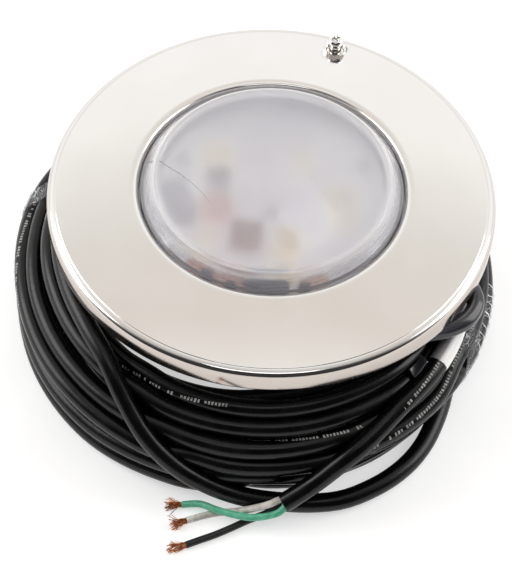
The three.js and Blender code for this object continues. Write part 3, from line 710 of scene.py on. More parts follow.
# %% Polished and brushed stainless steel
def polished_steel():
    """Mirror polish with faint turning lines, a few smudges and fine pits, and painted shade on the rolled
    skirt.
    """
    material, tree, shader = start_finish("polished_stainless_steel", Metallic=1.0)
    here = add_node(tree, "ShaderNodeTexCoord").outputs["Object"]
    smudge = add_node(tree, "ShaderNodeTexNoise", {"Vector": here, "Scale": 22.0, "Detail": 6.0,
                                                   "Roughness": 0.6})
    steel = add_node(tree, "ShaderNodeValToRGB", {"Fac": smudge.outputs[0]}, [
        (0.3, "#E4E1DE"), (0.7, "#E8E6E3")]).outputs[0]
    rough = add_node(tree, "ShaderNodeMapRange", {"Value": smudge.outputs[0], "From Min": 0.3,
                                                  "From Max": 0.7, "To Min": 0.09, "To Max": 0.12})
    tree.links.new(rough.outputs[0], shader.inputs["Roughness"])
    place = add_node(tree, "ShaderNodeSeparateXYZ", {0: here})
    flat = add_node(tree, "ShaderNodeCombineXYZ", {0: place.outputs[0], 1: place.outputs[1]})
    radius = add_node(tree, "ShaderNodeVectorMath", {0: flat.outputs[0]}, operation="LENGTH")
    # Painted shade: the rolled skirt gets a darker, warmer colour than the buffed face, standing for the
    # dimmer reflection it shows.
    skirt_painted_shade = add_node(tree, "ShaderNodeMapRange", {"Value": radius.outputs["Value"], "From Min": 0.1245,
                                                  "From Max": 0.1265})
    tree.links.new(add_node(tree, "ShaderNodeMix", {0: skirt_painted_shade.outputs[0], 6: steel, 7: colour("#C6BDB6")},
                            data_type="RGBA").outputs[2], shader.inputs["Base Color"])
    lines = add_node(tree, "ShaderNodeTexNoise", {"W": radius.outputs["Value"], "Scale": 1400.0,
                                                  "Detail": 2.0}, noise_dimensions="1D")
    pits = add_node(tree, "ShaderNodeTexVoronoi", {"Vector": here, "Scale": 160.0})
    pit = add_node(tree, "ShaderNodeMapRange", {"Value": pits.outputs["Distance"], "From Min": 0.0,
                                                "From Max": 0.09, "To Min": -1.5, "To Max": 0.0})
    relief = add_node(tree, "ShaderNodeMath", {0: lines.outputs[0], 1: pit.outputs[0]},
                      operation="ADD")
    bump = add_node(tree, "ShaderNodeBump", {"Height": relief.outputs[0], "Strength": 0.014,
                                             "Distance": 0.0003})
    tree.links.new(bump.outputs[0], shader.inputs["Normal"])
    return material


def brushed_steel():
    """Drawn stainless sheet left as drawn: duller, with fine lines round the axis."""
    material, tree, shader = start_finish("drawn_stainless_steel", Metallic=1.0)
    here = add_node(tree, "ShaderNodeTexCoord").outputs["Object"]
    stretch = add_node(tree, "ShaderNodeMapping", {"Vector": here, "Scale": (60.0, 60.0, 1600.0)})
    lines = add_node(tree, "ShaderNodeTexNoise", {"Vector": stretch.outputs[0], "Scale": 1.0,
                                                  "Detail": 4.0})
    tone = add_node(tree, "ShaderNodeValToRGB", {"Fac": lines.outputs[0]}, [
        (0.3, "#A9A7A3"), (0.7, "#CFCDC9")])
    tree.links.new(tone.outputs[0], shader.inputs["Base Color"])
    rough = add_node(tree, "ShaderNodeMapRange", {"Value": lines.outputs[0], "To Min": 0.22,
                                                  "To Max": 0.42})
    tree.links.new(rough.outputs[0], shader.inputs["Roughness"])
    bump = add_node(tree, "ShaderNodeBump", {"Height": lines.outputs[0], "Strength": 0.1,
                                             "Distance": 0.0002})
    tree.links.new(bump.outputs[0], shader.inputs["Normal"])
    return material


POLISHED = polished_steel()
BRUSHED = brushed_steel()
give(ring, POLISHED)

# %% [markdown]
# ## The lens
# The lens is moulded polycarbonate about 4 mm thick: a flange held in the gasket, a straight band
# that stands up through the ring, a bead, and a low dome. The bead's bright line is a painted
# highlight and the band's grey is painted shade. Its inside is frosted, so the lamp's parts show as
# soft patches. Rough transmission does that by itself when the parts are really there, so the lens
# is one closed, thick mesh over a lamp board with its parts.

# %% The lens's mesh
DOME_STEPS = 14
dome = [(64.5 * i / DOME_STEPS, 112.5 - 6.9 * (i / DOME_STEPS) ** 2) for i in range(DOME_STEPS + 1)]
bead = [(65.6, 105.5), (66.4, 105.9), (67.5, 105.5), (68.3, 104.2)]
band = [(69.6, 102.6), (74.3, 97.4), (74.6, 91.1), (100.1, 91.1), (100.1, 88.2), (70.5, 88.2),
        (70.5, 95.4), (66.8, 99.4), (63.8, 101.4)]
under = [(radius * 63.8 / 64.5, height - 4.1) for radius, height in dome[-2::-1]]
lens = lathe("frosted_lens", dome + bead + band + under, 0, 192)
print("lens", len(lens.data.polygons), "faces")


# %% Frosted polycarbonate
def frosted_polycarbonate():
    """A milky, faintly lilac skin: soft light on top, blurred parts below, a painted highlight along the
    bead, brighter on the far side, and painted shade on the upright band.
    """
    material, tree, shader = start_finish("frosted_polycarbonate", IOR=1.58)
    here = add_node(tree, "ShaderNodeTexCoord").outputs["Object"]
    place = add_node(tree, "ShaderNodeSeparateXYZ", {0: here})
    flat = add_node(tree, "ShaderNodeCombineXYZ", {0: place.outputs[0], 1: place.outputs[1]})
    radius = add_node(tree, "ShaderNodeVectorMath", {0: flat.outputs[0]}, operation="LENGTH")
    # Painted highlight: the bead's line turns white, and far makes it brighter towards the far side, where
    # light catches the shoulder.
    bead = add_node(tree, "ShaderNodeMath", {0: radius.outputs["Value"], 1: 0.0669}, operation="SUBTRACT")
    bead = add_node(tree, "ShaderNodeMath", {0: bead.outputs[0]}, operation="ABSOLUTE")
    bead = add_node(tree, "ShaderNodeMapRange", {"Value": bead.outputs[0], "From Min": 0.0003,
                                                 "From Max": 0.0040, "To Min": 0.85, "To Max": 0.0})
    far = add_node(tree, "ShaderNodeMapRange", {"Value": place.outputs[1], "From Min": -0.06,
                                                "From Max": 0.02, "To Min": 0.3, "To Max": 1.0})
    bead = add_node(tree, "ShaderNodeMath", {0: bead.outputs[0], 1: far.outputs[0]},
                    operation="MULTIPLY")
    cloud = add_node(tree, "ShaderNodeTexNoise", {"Vector": here, "Scale": 14.0, "Detail": 2.0})
    milk = add_node(tree, "ShaderNodeValToRGB", {"Fac": cloud.outputs[0]}, [
        (0.35, "#E6E4EA"), (0.65, "#F4F3F7")]).outputs[0]
    # Painted shade: the upright band goes to a darker grey.
    band = add_node(tree, "ShaderNodeMapRange", {"Value": radius.outputs["Value"], "From Min": 0.0685,
                                                 "From Max": 0.0705, "To Min": 0.0, "To Max": 0.3})
    milk = add_node(tree, "ShaderNodeMix", {0: band.outputs[0], 6: milk, 7: colour("#B2B0B8")},
                    data_type="RGBA").outputs[2]
    skin = add_node(tree, "ShaderNodeMix", {0: bead.outputs[0], 6: milk, 7: colour("#FFFFFF")},
                    data_type="RGBA")
    tree.links.new(skin.outputs[2], shader.inputs["Base Color"])
    side = add_node(tree, "ShaderNodeMapRange", {"Value": radius.outputs["Value"], "From Min": 0.067,
                                                 "From Max": 0.070, "To Min": 0.74, "To Max": 0.76})
    clear = add_node(tree, "ShaderNodeMapRange", {"Value": bead.outputs[0], "To Min": side.outputs[0],
                                                  "To Max": 0.35})
    tree.links.new(clear.outputs[0], shader.inputs["Transmission Weight"])
    rough = add_node(tree, "ShaderNodeMapRange", {"Value": radius.outputs["Value"], "From Min": 0.0688,
                                                  "From Max": 0.0715, "To Min": 0.28, "To Max": 0.17})
    tree.links.new(rough.outputs[0], shader.inputs["Roughness"])
    grain = add_node(tree, "ShaderNodeTexNoise", {"Vector": here, "Scale": 700.0, "Detail": 2.0})
    bump = add_node(tree, "ShaderNodeBump", {"Height": grain.outputs[0], "Strength": 0.12,
                                             "Distance": 0.0003})
    tree.links.new(bump.outputs[0], shader.inputs["Normal"])
    return material


give(lens, frosted_polycarbonate())

# %% [markdown]
# ## The pilot screw
# A screw near the ring's edge holds the light in its niche. Its head stands about 9 mm above the
# ring on a shouldered sleeve, in a dished cup. The screw turns and backs out, so it is a piece of
# its own on its own body. Its cross recess is cut by two crossed bars.

# %% The screw and its cup
SCREW_OUTLINE_MM = [
    (0, 76.3), (1.6, 76.3), (2.4, 77.6), (2.4, 93.4), (3.55, 93.4), (3.7, 93.8), (3.7, 101.5),
    (4.2, 101.9), (4.2, 103.0), (3.6, 104.1), (2.4, 104.6), (0, 104.75),
]
screw = lathe("pilot_screw_polished", SCREW_OUTLINE_MM, 0.25, 64, SCREW_PLACE)
screw_middle = Vector((SCREW_PLACE[0] * MM, SCREW_PLACE[1] * MM, 0))


def recess_bar(turn):
    """A bar 1.6 mm wide at its top that narrows downwards, for one arm of the cross recess."""
    points = []
    for height, half_long, half_wide in ((102.4, 1.9, 0.5), (105.2, 2.9, 0.8)):
        for x, y in ((-1, -1), (1, -1), (1, 1), (-1, 1)):
            corner = Vector((x * half_long, y * half_wide, height)) * MM
            points.append(screw_middle + Matrix.Rotation(turn, 3, "Z") @ corner)
    faces = [(0, 3, 2, 1), (4, 5, 6, 7), (0, 1, 5, 4), (1, 2, 6, 5), (2, 3, 7, 6), (3, 0, 4, 7)]
    return mesh_piece("bar", points, faces)


RECESS_TURN = math.radians(28)
cut_with(screw, recess_bar(RECESS_TURN), recess_bar(RECESS_TURN + math.pi / 2))
CUP_OUTLINE_MM = [
    (2.75, 91.8), (8.4, 91.8), (8.4, 92.7), (6.1, 92.7), (6.1, 95.5), (6.7, 95.8), (6.6, 96.2),
    (5.9, 96.1), (5.3, 95.5), (5.0, 93.6), (4.2, 93.0), (2.75, 93.0),
]
cup = lathe("screw_cup_dished", CUP_OUTLINE_MM, 0.2, 64, SCREW_PLACE)
for piece in (screw, cup):
    give(piece, POLISHED)
print("screw", len(screw.data.polygons), "cup", len(cup.data.polygons), "faces")

# %% [markdown]
# ## What shows through the lens
# Behind the frosted lens the lamp board carries its emitters, copper pads, a brown and a black
# part, and the dark plugs of its wiring near the front edge. Only their soft colours reach the
# eye, so each is a rounded block in the right place, with the right colour.

# %% Parts on the lamp board
BOARD_TOP_MM = 73.8
CHAMBER_GLOW = 0.46
PILL_SIDES = 24
PILL_SQUARENESS = 0.45


def pill(name, middle, half, turn_degrees, top, codes, shine=0.45):
    """A rounded block on the lamp board: its middle, half sizes and top in millimetres."""
    x, y = middle
    heights = [BOARD_TOP_MM, BOARD_TOP_MM + 0.4 * (top - BOARD_TOP_MM), top - 0.5, top]
    insets = [1.0, 1.0, 1.0, 0.93]
    around = np.linspace(0, 2 * math.pi, PILL_SIDES, endpoint=False)
    shape_x = np.sign(np.cos(around)) * np.abs(np.cos(around)) ** PILL_SQUARENESS * half[0]
    shape_y = np.sign(np.sin(around)) * np.abs(np.sin(around)) ** PILL_SQUARENESS * half[1]
    turn = math.radians(turn_degrees)
    points, faces = [], []
    for z, inset in zip(heights, insets):
        for a, b in zip(shape_x * inset, shape_y * inset):
            points.append(((x + a * math.cos(turn) - b * math.sin(turn)) * MM,
                           (y + a * math.sin(turn) + b * math.cos(turn)) * MM, z * MM))
    for level in range(len(heights) - 1):
        low, high = level * PILL_SIDES, (level + 1) * PILL_SIDES
        for j in range(PILL_SIDES):
            k = (j + 1) % PILL_SIDES
            faces.append((low + j, low + k, high + k, high + j))
    faces += [tuple(range(PILL_SIDES)), tuple(range(len(points) - PILL_SIDES, len(points)))]
    piece = mesh_piece(name, points, faces)
    return give(piece, moulded(name + "_finish", *codes, shine, glow=CHAMBER_GLOW))


def moulded(name, dark, light, roughness=0.5, scale=180.0, glow=0.0):
    """A moulded or painted part: two near tones in a fine cloud and a slightly uneven skin.

    Light that leaks in through the milky lens is scattered all round the lamp's chamber; glow adds
    back that soft, shadowless light.
    """
    material, tree, shader = start_finish(name, Roughness=roughness, IOR=1.5)
    here = add_node(tree, "ShaderNodeTexCoord").outputs["Object"]
    cloud = add_node(tree, "ShaderNodeTexNoise", {"Vector": here, "Scale": scale, "Detail": 4.0})
    tone = add_node(tree, "ShaderNodeValToRGB", {"Fac": cloud.outputs[0]}, [
        (0.35, dark), (0.65, light)])
    tree.links.new(tone.outputs[0], shader.inputs["Base Color"])
    if glow:
        tree.links.new(shader.inputs["Base Color"].links[0].from_socket, shader.inputs["Emission Color"])
        shader.inputs["Emission Strength"].default_value = glow
    bump = add_node(tree, "ShaderNodeBump", {"Height": cloud.outputs[0], "Strength": 0.15,
                                             "Distance": 0.0002})
    tree.links.new(bump.outputs[0], shader.inputs["Normal"])
    return material


LAMP_PARTS = [
    ("lamp_phosphor_left", (-32, 37), (8, 8), 0, 79, ("#E9D79A", "#F4E8BE")),
    ("lamp_choke_dark", (-31, 20), (7, 5), 10, 82, ("#5E5B63", "#6E6B73")),
    ("lamp_copper_pad", (-31, 0), (9, 10), 15, 78, ("#C08C7C", "#D8A898")),
    ("lamp_relay_brown", (-13, -22), (9, 8), -5, 84, ("#7A4B36", "#94624A")),
    ("lamp_phosphor_front", (10, -24), (7, 8), 0, 81, ("#E3CFA0", "#F2E3C0")),
    ("lamp_phosphor_right", (38, 9), (9, 10), 0, 78, ("#E2D6B4", "#EFE6CC")),
    ("lamp_reflector_white", (21, -6), (13, 12), 0, 78, ("#FFFFFF", "#FFFFFF")),
    ("lamp_cover_grey", (-54, 1), (10, 16), 20, 80, ("#807C86", "#96929B")),
    ("lamp_plug_wide", (-1, -59.5), (12, 5.5), 0, 88, ("#2C2F38", "#3B3F4A")),
    ("lamp_plug_left", (-33, -54), (3.4, 3.4), 0, 88, ("#22242C", "#30333D")),
    ("lamp_plug_middle", (-20, -61), (2.6, 2.6), 0, 88, ("#3A2E2B", "#463834")),
    ("lamp_plug_right", (20, -60), (3.2, 3.2), 0, 88, ("#3A2E2B", "#463834")),
    ("lamp_wires_left", (-36, -47), (9, 4), -32, 84, ("#C08A74", "#D8A791")),
    ("lamp_wires_middle", (-21, -54), (9, 4), 5, 85, ("#C79B88", "#DDB5A2")),
    ("lamp_wires_right", (25, -53), (8, 5), 22, 84, ("#C9A48F", "#DDBBA6")),
]
lamp_parts = [pill(*row) for row in LAMP_PARTS]
print(len(lamp_parts), "parts behind the lens")

# %% [markdown]
# ## Label, ties and clear film
# The loose turn carries a wrap-round label near its end: a blank white patch with a clear tail
# over the black cord. Clear tape holds the coil at the right, where it is crumpled and wound
# several times round the outer turn, and once at the left.

# %% The label
def part_of_loose_turn(first, last):
    """The loose turn's line between two of its route's points, counted with parts of a step."""
    route = smooth_line(loose_turn, 0.0005)
    nearest = [int(np.argmin(np.linalg.norm(route - p, axis=1))) for p in loose_turn]
    start, end = (int(np.interp(at, range(len(nearest)), nearest)) for at in (first, last))
    return route[start:end]


def label_film():
    """Self-laminating vinyl: a white patch, and grey where its clear end lies over the black cord."""
    material, tree, shader = start_finish("self_laminating_vinyl", Roughness=0.24, IOR=1.5)
    around = add_node(tree, "ShaderNodeSeparateXYZ", {
        0: add_node(tree, "ShaderNodeUVMap", uv_map="along").outputs[0]}).outputs[1]
    here = add_node(tree, "ShaderNodeTexCoord").outputs["Object"]
    scuff = add_node(tree, "ShaderNodeTexNoise", {"Vector": here, "Scale": 500.0, "Detail": 4.0})
    tone = add_node(tree, "ShaderNodeValToRGB", {"Fac": around}, [
        (0.0, "#63636A"), (0.26, "#77767C"), (0.29, "#EFEDEA"), (0.71, "#F6F4F2"),
        (0.74, "#A3A1A4"), (0.86, "#7C7B80"), (1.0, "#63636A")])
    tree.links.new(tone.outputs[0], shader.inputs["Base Color"])
    bump = add_node(tree, "ShaderNodeBump", {"Height": scuff.outputs[0], "Strength": 0.15,
                                             "Distance": 0.0002})
    tree.links.new(bump.outputs[0], shader.inputs["Normal"])
    return material


LABEL_RADIUS = 0.5 * CORD_DIAMETER + 0.0005
label_line = part_of_loose_turn(33.0, 34.9)
label = give(sweep("label_sleeve", label_line[::3], LABEL_RADIUS, 40), label_film())
print("label", round(length_of(label_line) * 1000, 1), "mm long")


# %% Clear tape
def clear_tape(name, laps_every=0.0):
    """Polypropylene tape: see-through and glossy, with painted glints: pale lines along its creases
    and, where it is wound, along the edges of its laps."""
    material, tree, shader = start_finish(name, Roughness=0.13, IOR=1.49)
    here = add_node(tree, "ShaderNodeTexCoord").outputs["Object"]
    stray = add_node(tree, "ShaderNodeTexNoise", {"Vector": here, "Scale": 90.0, "Detail": 3.0})
    push = add_node(tree, "ShaderNodeMapping", {"Vector": here, "Scale": (150.0, 150.0, 480.0)})
    bent = add_node(tree, "ShaderNodeVectorMath", {0: push.outputs[0], 1: stray.outputs["Color"]},
                    operation="ADD")
    cells = add_node(tree, "ShaderNodeTexVoronoi", {"Vector": bent.outputs[0], "Scale": 1.0},
                     feature="DISTANCE_TO_EDGE")
    crease_and_glint = add_node(tree, "ShaderNodeMapRange", {"Value": cells.outputs["Distance"],
                                                   "From Min": 0.0, "From Max": 0.05,
                                                   "To Min": 1.0, "To Max": 0.0})
    where = add_node(tree, "ShaderNodeMapRange", {"Value": stray.outputs[0], "From Min": 0.46,
                                                  "From Max": 0.58})
    crease_and_glint = add_node(tree, "ShaderNodeMath", {0: crease_and_glint.outputs[0], 1: where.outputs[0]},
                      operation="MULTIPLY")
    if laps_every:
        place = add_node(tree, "ShaderNodeSeparateXYZ", {
            0: add_node(tree, "ShaderNodeUVMap", uv_map="along").outputs[0]})
        lap = add_node(tree, "ShaderNodeMath", {0: place.outputs[1], 1: 0.6}, operation="MULTIPLY")
        lap = add_node(tree, "ShaderNodeMath", {0: place.outputs[0], 1: 1 / laps_every,
                                                2: lap.outputs[0]}, operation="MULTIPLY_ADD")
        lap = add_node(tree, "ShaderNodeMath", {0: lap.outputs[0], 1: stray.outputs[0]},
                       operation="ADD")
        lap = add_node(tree, "ShaderNodeMath", {0: lap.outputs[0]}, operation="FRACT")
        edge = add_node(tree, "ShaderNodeMath", {0: lap.outputs[0], 1: 0.09}, operation="LESS_THAN")
        crease_and_glint = add_node(tree, "ShaderNodeMath", {0: crease_and_glint.outputs[0], 1: edge.outputs[0]},
                          operation="MAXIMUM")
    # Painted highlight: creases and lap edges turn near white, standing for glints of light on the film.
    tone = add_node(tree, "ShaderNodeValToRGB", {"Fac": crease_and_glint.outputs[0]}, [
        (0.0, "#5A5A60"), (0.8, "#F0F0F2")])
    tree.links.new(tone.outputs[0], shader.inputs["Base Color"])
    solid = add_node(tree, "ShaderNodeMapRange", {"Value": crease_and_glint.outputs[0], "To Min": 0.16,
                                                  "To Max": 0.9})
    tree.links.new(solid.outputs[0], shader.inputs["Alpha"])
    bump = add_node(tree, "ShaderNodeBump", {"Height": crease_and_glint.outputs[0], "Strength": 0.5,
                                             "Distance": 0.0006})
    tree.links.new(bump.outputs[0], shader.inputs["Normal"])
    return material


LAP_PITCH = 0.0068
CLEAR_TAPE = clear_tape("crumpled_clear_tape")
WOUND_TAPE = clear_tape("wound_clear_tape", LAP_PITCH)
TAPE_SEED = 5


def wound_tape(name, line, pitch=LAP_PITCH, sides=28):
    """Tape wound round a strand in overlapping laps, so that its outline goes in steps."""
    rng = np.random.default_rng(TAPE_SEED)
    gone = np.concatenate([[0], np.cumsum(np.linalg.norm(np.diff(line, axis=0), axis=1))])
    turn = np.arange(sides) / sides
    lap = gone[:, None] / pitch + 0.6 * turn[None, :] + 0.18 * rng.standard_normal((1, sides)).cumsum(1) / 6
    step = 1 - (lap % 1.0)
    radii = 0.5 * CORD_DIAMETER + 0.00035 + 0.00075 * step ** 2
    radii += 0.00016 * rng.standard_normal(radii.shape)
    return give(sweep(name, line, radii, sides, 25), WOUND_TAPE)


def outer_strand(first_degrees, last_degrees):
    """The part of the coil's widest low turn that lies between two angles."""
    degrees = turn_degrees[:len(coil_line)]
    middle_height = np.abs(turn_height[:len(coil_line)] - 0.027)
    turns = np.round((COIL_START - degrees) / 360 - 0.01)
    best = None
    for number in np.unique(turns):
        for lift in (0, 360):
            wanted = (turns >= number - 1) & (turns <= number + 1)
            first, last = -360 * number + first_degrees - lift, -360 * number + last_degrees - lift
            chosen = wanted & (degrees <= first) & (degrees >= last)
            if chosen.sum() < 4:
                continue
            score = turn_radius[:len(coil_line)][chosen].mean() - 0.2 * middle_height[chosen].mean()
            if best is None or score > best[0]:
                best = (score, coil_line[chosen])
    return smooth_line(best[1], 0.0009)


taped_line = outer_strand(8, -24)
# The first quarter of it, nearest the back, has no tape.
taped_line = taped_line[len(taped_line) // 4:]
tape_on_strand = wound_tape("tape_wound_right", taped_line)
print("taped strand", round(length_of(taped_line) * 1000), "mm")


# %% A loop of clear film that hangs out from under the ring
FILM_LOOP_MM = [
    (97, -27, 75.2), (106.4, -39, 75.1), (113.4, -48, 74.8), (115.8, -58.6, 74.6), (111.6, -68.2, 74.6),
    (103.0, -74.6, 74.7), (92.6, -78.2, 74.8), (80.5, -80.5, 75.1), (70, -80, 75.2),
]
FILM_LOOP_RADIUS = 0.0054


def film_loop():
    """Clear film rolled into a soft tube and bent back on itself; it flattens a little at the bend."""
    line = smooth_line(np.array(FILM_LOOP_MM) * MM, 0.0012)
    gone = np.linspace(0, 1, len(line))
    around = np.linspace(0, 2 * math.pi, 36, endpoint=False)
    folds = 0.035 * np.sin(3 * around[None] + 9 * gone[:, None]) + 0.02 * np.sin(7 * around[None] - 5)
    radii = FILM_LOOP_RADIUS * (1 + folds) * (1 - 0.10 * np.sin(math.pi * gone[:, None]) ** 2)
    material, tree, shader = start_finish("smoky_clear_film", Roughness=0.17, IOR=1.5)
    along = add_node(tree, "ShaderNodeUVMap", uv_map="along").outputs[0]
    # Painted reflection: the grey streaks along the film stand for light reflected in its glossy folds; the
    # same streaks give the folds their bump.
    fold_and_sheen_streak = add_node(tree, "ShaderNodeMapping", {"Vector": along, "Scale": (14.0, 5.0, 1.0)})
    fold_and_sheen_streak = add_node(tree, "ShaderNodeTexNoise", {"Vector": fold_and_sheen_streak.outputs[0], "Scale": 1.0,
                                                   "Detail": 4.0, "Distortion": 0.6})
    tone = add_node(tree, "ShaderNodeValToRGB", {"Fac": fold_and_sheen_streak.outputs[0]}, [
        (0.36, "#141416"), (0.5, "#3C3C42"), (0.64, "#75757C")])
    tree.links.new(tone.outputs[0], shader.inputs["Base Color"])
    bump = add_node(tree, "ShaderNodeBump", {"Height": fold_and_sheen_streak.outputs[0], "Strength": 0.3,
                                             "Distance": 0.0005})
    tree.links.new(bump.outputs[0], shader.inputs["Normal"])
    return give(sweep("film_loop", line, radii, 36), material)


loop = film_loop()
print("film loop", len(loop.data.polygons), "faces")


# %% A loose corner of film, and the edge of the lens's cover film
FILM_TAG_MM = [(74.5, -88.0, 62.0), (83.8, -99.2, 58.5), (90.5, -90.0, 60.5), (81.0, -77.5, 64.5)]


def film_tag():
    """A loose corner of the same film, lying over the coil between the label and the ring."""
    corners = [Vector(corner) * MM for corner in FILM_TAG_MM]
    steps = 10
    points, faces = [], []
    for i in range(steps + 1):
        for j in range(steps + 1):
            u, v = i / steps, j / steps
            near = corners[0] * (1 - u) + corners[1] * u
            far = corners[3] * (1 - u) + corners[2] * u
            p = near * (1 - v) + far * v
            points.append(p + Vector((0, 0, 0.0011 * math.sin(5 * u + 3 * v) + 0.002 * (u - 0.5) ** 2)))
    for i in range(steps):
        for j in range(steps):
            a = i * (steps + 1) + j
            faces.append((a, a + steps + 1, a + steps + 2, a + 1))
    tag = mesh_piece("film_tag", points, faces)
    thick = tag.modifiers.new("thick", "SOLIDIFY")
    thick.thickness = 0.0002
    return give(make_plain(tag), loop.data.materials[0])


tag = film_tag()
FILM_EDGE_MM = [
    (-71.5, 12.5), (-67.5, 9.0), (-63.5, 8.2), (-60.1, 4.9), (-52, -2), (-44, -10), (-38.6, -16.3),
    (-33, -24),
]


def film_edge():
    """The raised, slightly dirty edge of the thin cover film on the lens."""
    route = []
    for x, y in FILM_EDGE_MM:
        radius = math.hypot(x, y)
        if radius < 64.5:
            height = 112.5 - 6.9 * (radius / 64.5) ** 2
        else:
            height = np.interp(radius, [64.5, 66.4, 68.3, 74.3], [105.6, 105.9, 104.2, 97.4])
        route.append((x, y, height + 0.02))
    line = smooth_line(np.array(route) * MM, 0.001)
    shrink = np.linspace(1, 0.25, len(line))
    uneven = 1 + 0.4 * np.sin(np.arange(len(line)) * 1.7)
    return give(sweep("lens_film_edge", line, 0.00022 * shrink * uneven, 8),
                moulded("dusty_film_edge", "#77757A", "#98969B", 0.4, 900.0))


edge_of_film = film_edge()
print("tag", len(tag.data.polygons), "edge", len(edge_of_film.data.polygons), "faces")


# %% Tape round the whole coil
def hull(points):
    """The outline of a string pulled tight round flat points, in order."""
    points = sorted(map(tuple, points))
    chains = []
    for run in (points, points[::-1]):
        chain = []
        for p in run:
            while len(chain) > 1 and ((chain[-1][0] - chain[-2][0]) * (p[1] - chain[-2][1])
                                      <= (chain[-1][1] - chain[-2][1]) * (p[0] - chain[-2][0])):
                chain.pop()
            chain.append(p)
        chains += chain[:-1]
    return np.array(chains)


def tie_round_coil(name, middle_degrees, width_mm, stray_mm, seed):
    """A band of tape pulled tight round every turn of the coil at one place."""
    rng = np.random.default_rng(seed)
    lanes, around = 15, 120
    half = math.degrees(0.5 * width_mm * MM / 0.13)
    points = []
    for lane in range(lanes):
        degrees = middle_degrees + half * (2 * lane / (lanes - 1) - 1)
        wraps = []
        for turn in range(len(SLOTS)):
            rows = slice(turn * ANGLES_PER_TURN, min(len(turn_radius), (turn + 1) * ANGLES_PER_TURN + 1))
            angle = turn_degrees[rows]
            wanted = angle.min() + (degrees - angle.min()) % 360
            if wanted <= angle.max():
                wraps.append((np.interp(wanted, angle[::-1], turn_radius[rows][::-1]),
                              np.interp(wanted, angle[::-1], turn_height[rows][::-1])))
        ring = []
        for radius, height in wraps:
            for part in np.linspace(0, 2 * math.pi, 20, endpoint=False):
                reach = 0.5 * CORD_DIAMETER + 0.0002
                ring.append((radius + reach * math.cos(part), max(0.0002, height + reach * math.sin(part))))
        outline = hull(ring)
        outline = np.concatenate([outline, outline[:1]])
        gone = np.concatenate([[0], np.cumsum(np.linalg.norm(np.diff(outline, axis=0), axis=1))])
        even = np.linspace(0, gone[-1], around, endpoint=False)
        flat = np.stack([np.interp(even, gone, outline[:, k]) for k in (0, 1)], axis=1)
        wobble = stray_mm * MM * (0.5 + 0.5 * math.sin(3 * lane + seed))
        middle = flat.mean(0)
        out = flat - middle
        out /= np.linalg.norm(out, axis=1)[:, None]
        flat = flat + out * (0.0004 + wobble * rng.uniform(0, 1, (around, 1)) * (flat[:, 1:] > 0.004))
        edge = 0.004 * math.sin(2.3 * lane) * (lane in (0, lanes - 1))
        points.append(about_coil(flat[:, 0], degrees + edge * 50 * rng.standard_normal(around), flat[:, 1]))
    rings = np.array(points)
    faces = []
    for lane in range(lanes - 1):
        for j in range(around):
            k = (j + 1) % around
            faces.append((lane * around + j, lane * around + k, (lane + 1) * around + k,
                          (lane + 1) * around + j))
    piece = mesh_piece(name, rings.reshape(-1, 3), faces, sharp_degrees=70)
    thick = piece.modifiers.new("thick", "SOLIDIFY")
    thick.thickness = 0.00015
    thick.offset = 1.0
    return give(make_plain(piece), CLEAR_TAPE)


tie_right = tie_round_coil("tape_tie_right", 335, 17, 0.6, 3)
tie_left = tie_round_coil("tape_tie_left", 165, 14, 0.7, 4)
print("ties", len(tie_right.data.polygons), len(tie_left.data.polygons), "faces")

# %% [markdown]
# ## Finishes for the parts kept from the solid model
# The shell, gasket, clamp, gland and the lamp's inside are the right shape already. Each gets the
# finish of its real material.

# %% Kept parts
RUBBER = moulded("nitrile_rubber", "#1A1A1C", "#26262A", 0.6)
BLACK_PLASTIC = moulded("black_nylon", "#151517", "#222226", 0.45)
WHITE_BOARD = moulded("white_solder_mask", "#E6E6E4", "#F4F4F2", 0.35, glow=CHAMBER_GLOW)
GREEN_BOARD = moulded("green_solder_mask", "#1D5B3A", "#2A7A4E", 0.35)
LED_RESIN = moulded("phosphor_silicone", "#EFE6C4", "#F6F0DA", 0.4, glow=CHAMBER_GLOW)


def cast_metal(name, dark, light, roughness):
    """Machined or cast metal with a fine uneven sheen."""
    material, tree, shader = start_finish(name, Metallic=1.0)
    here = add_node(tree, "ShaderNodeTexCoord").outputs["Object"]
    grain = add_node(tree, "ShaderNodeTexNoise", {"Vector": here, "Scale": 320.0, "Detail": 5.0})
    tone = add_node(tree, "ShaderNodeValToRGB", {"Fac": grain.outputs[0]}, [
        (0.35, dark), (0.65, light)])
    tree.links.new(tone.outputs[0], shader.inputs["Base Color"])
    rough = add_node(tree, "ShaderNodeMapRange", {"Value": grain.outputs[0],
                                                  "To Min": roughness - 0.08, "To Max": roughness + 0.1})
    tree.links.new(rough.outputs[0], shader.inputs["Roughness"])
    return material


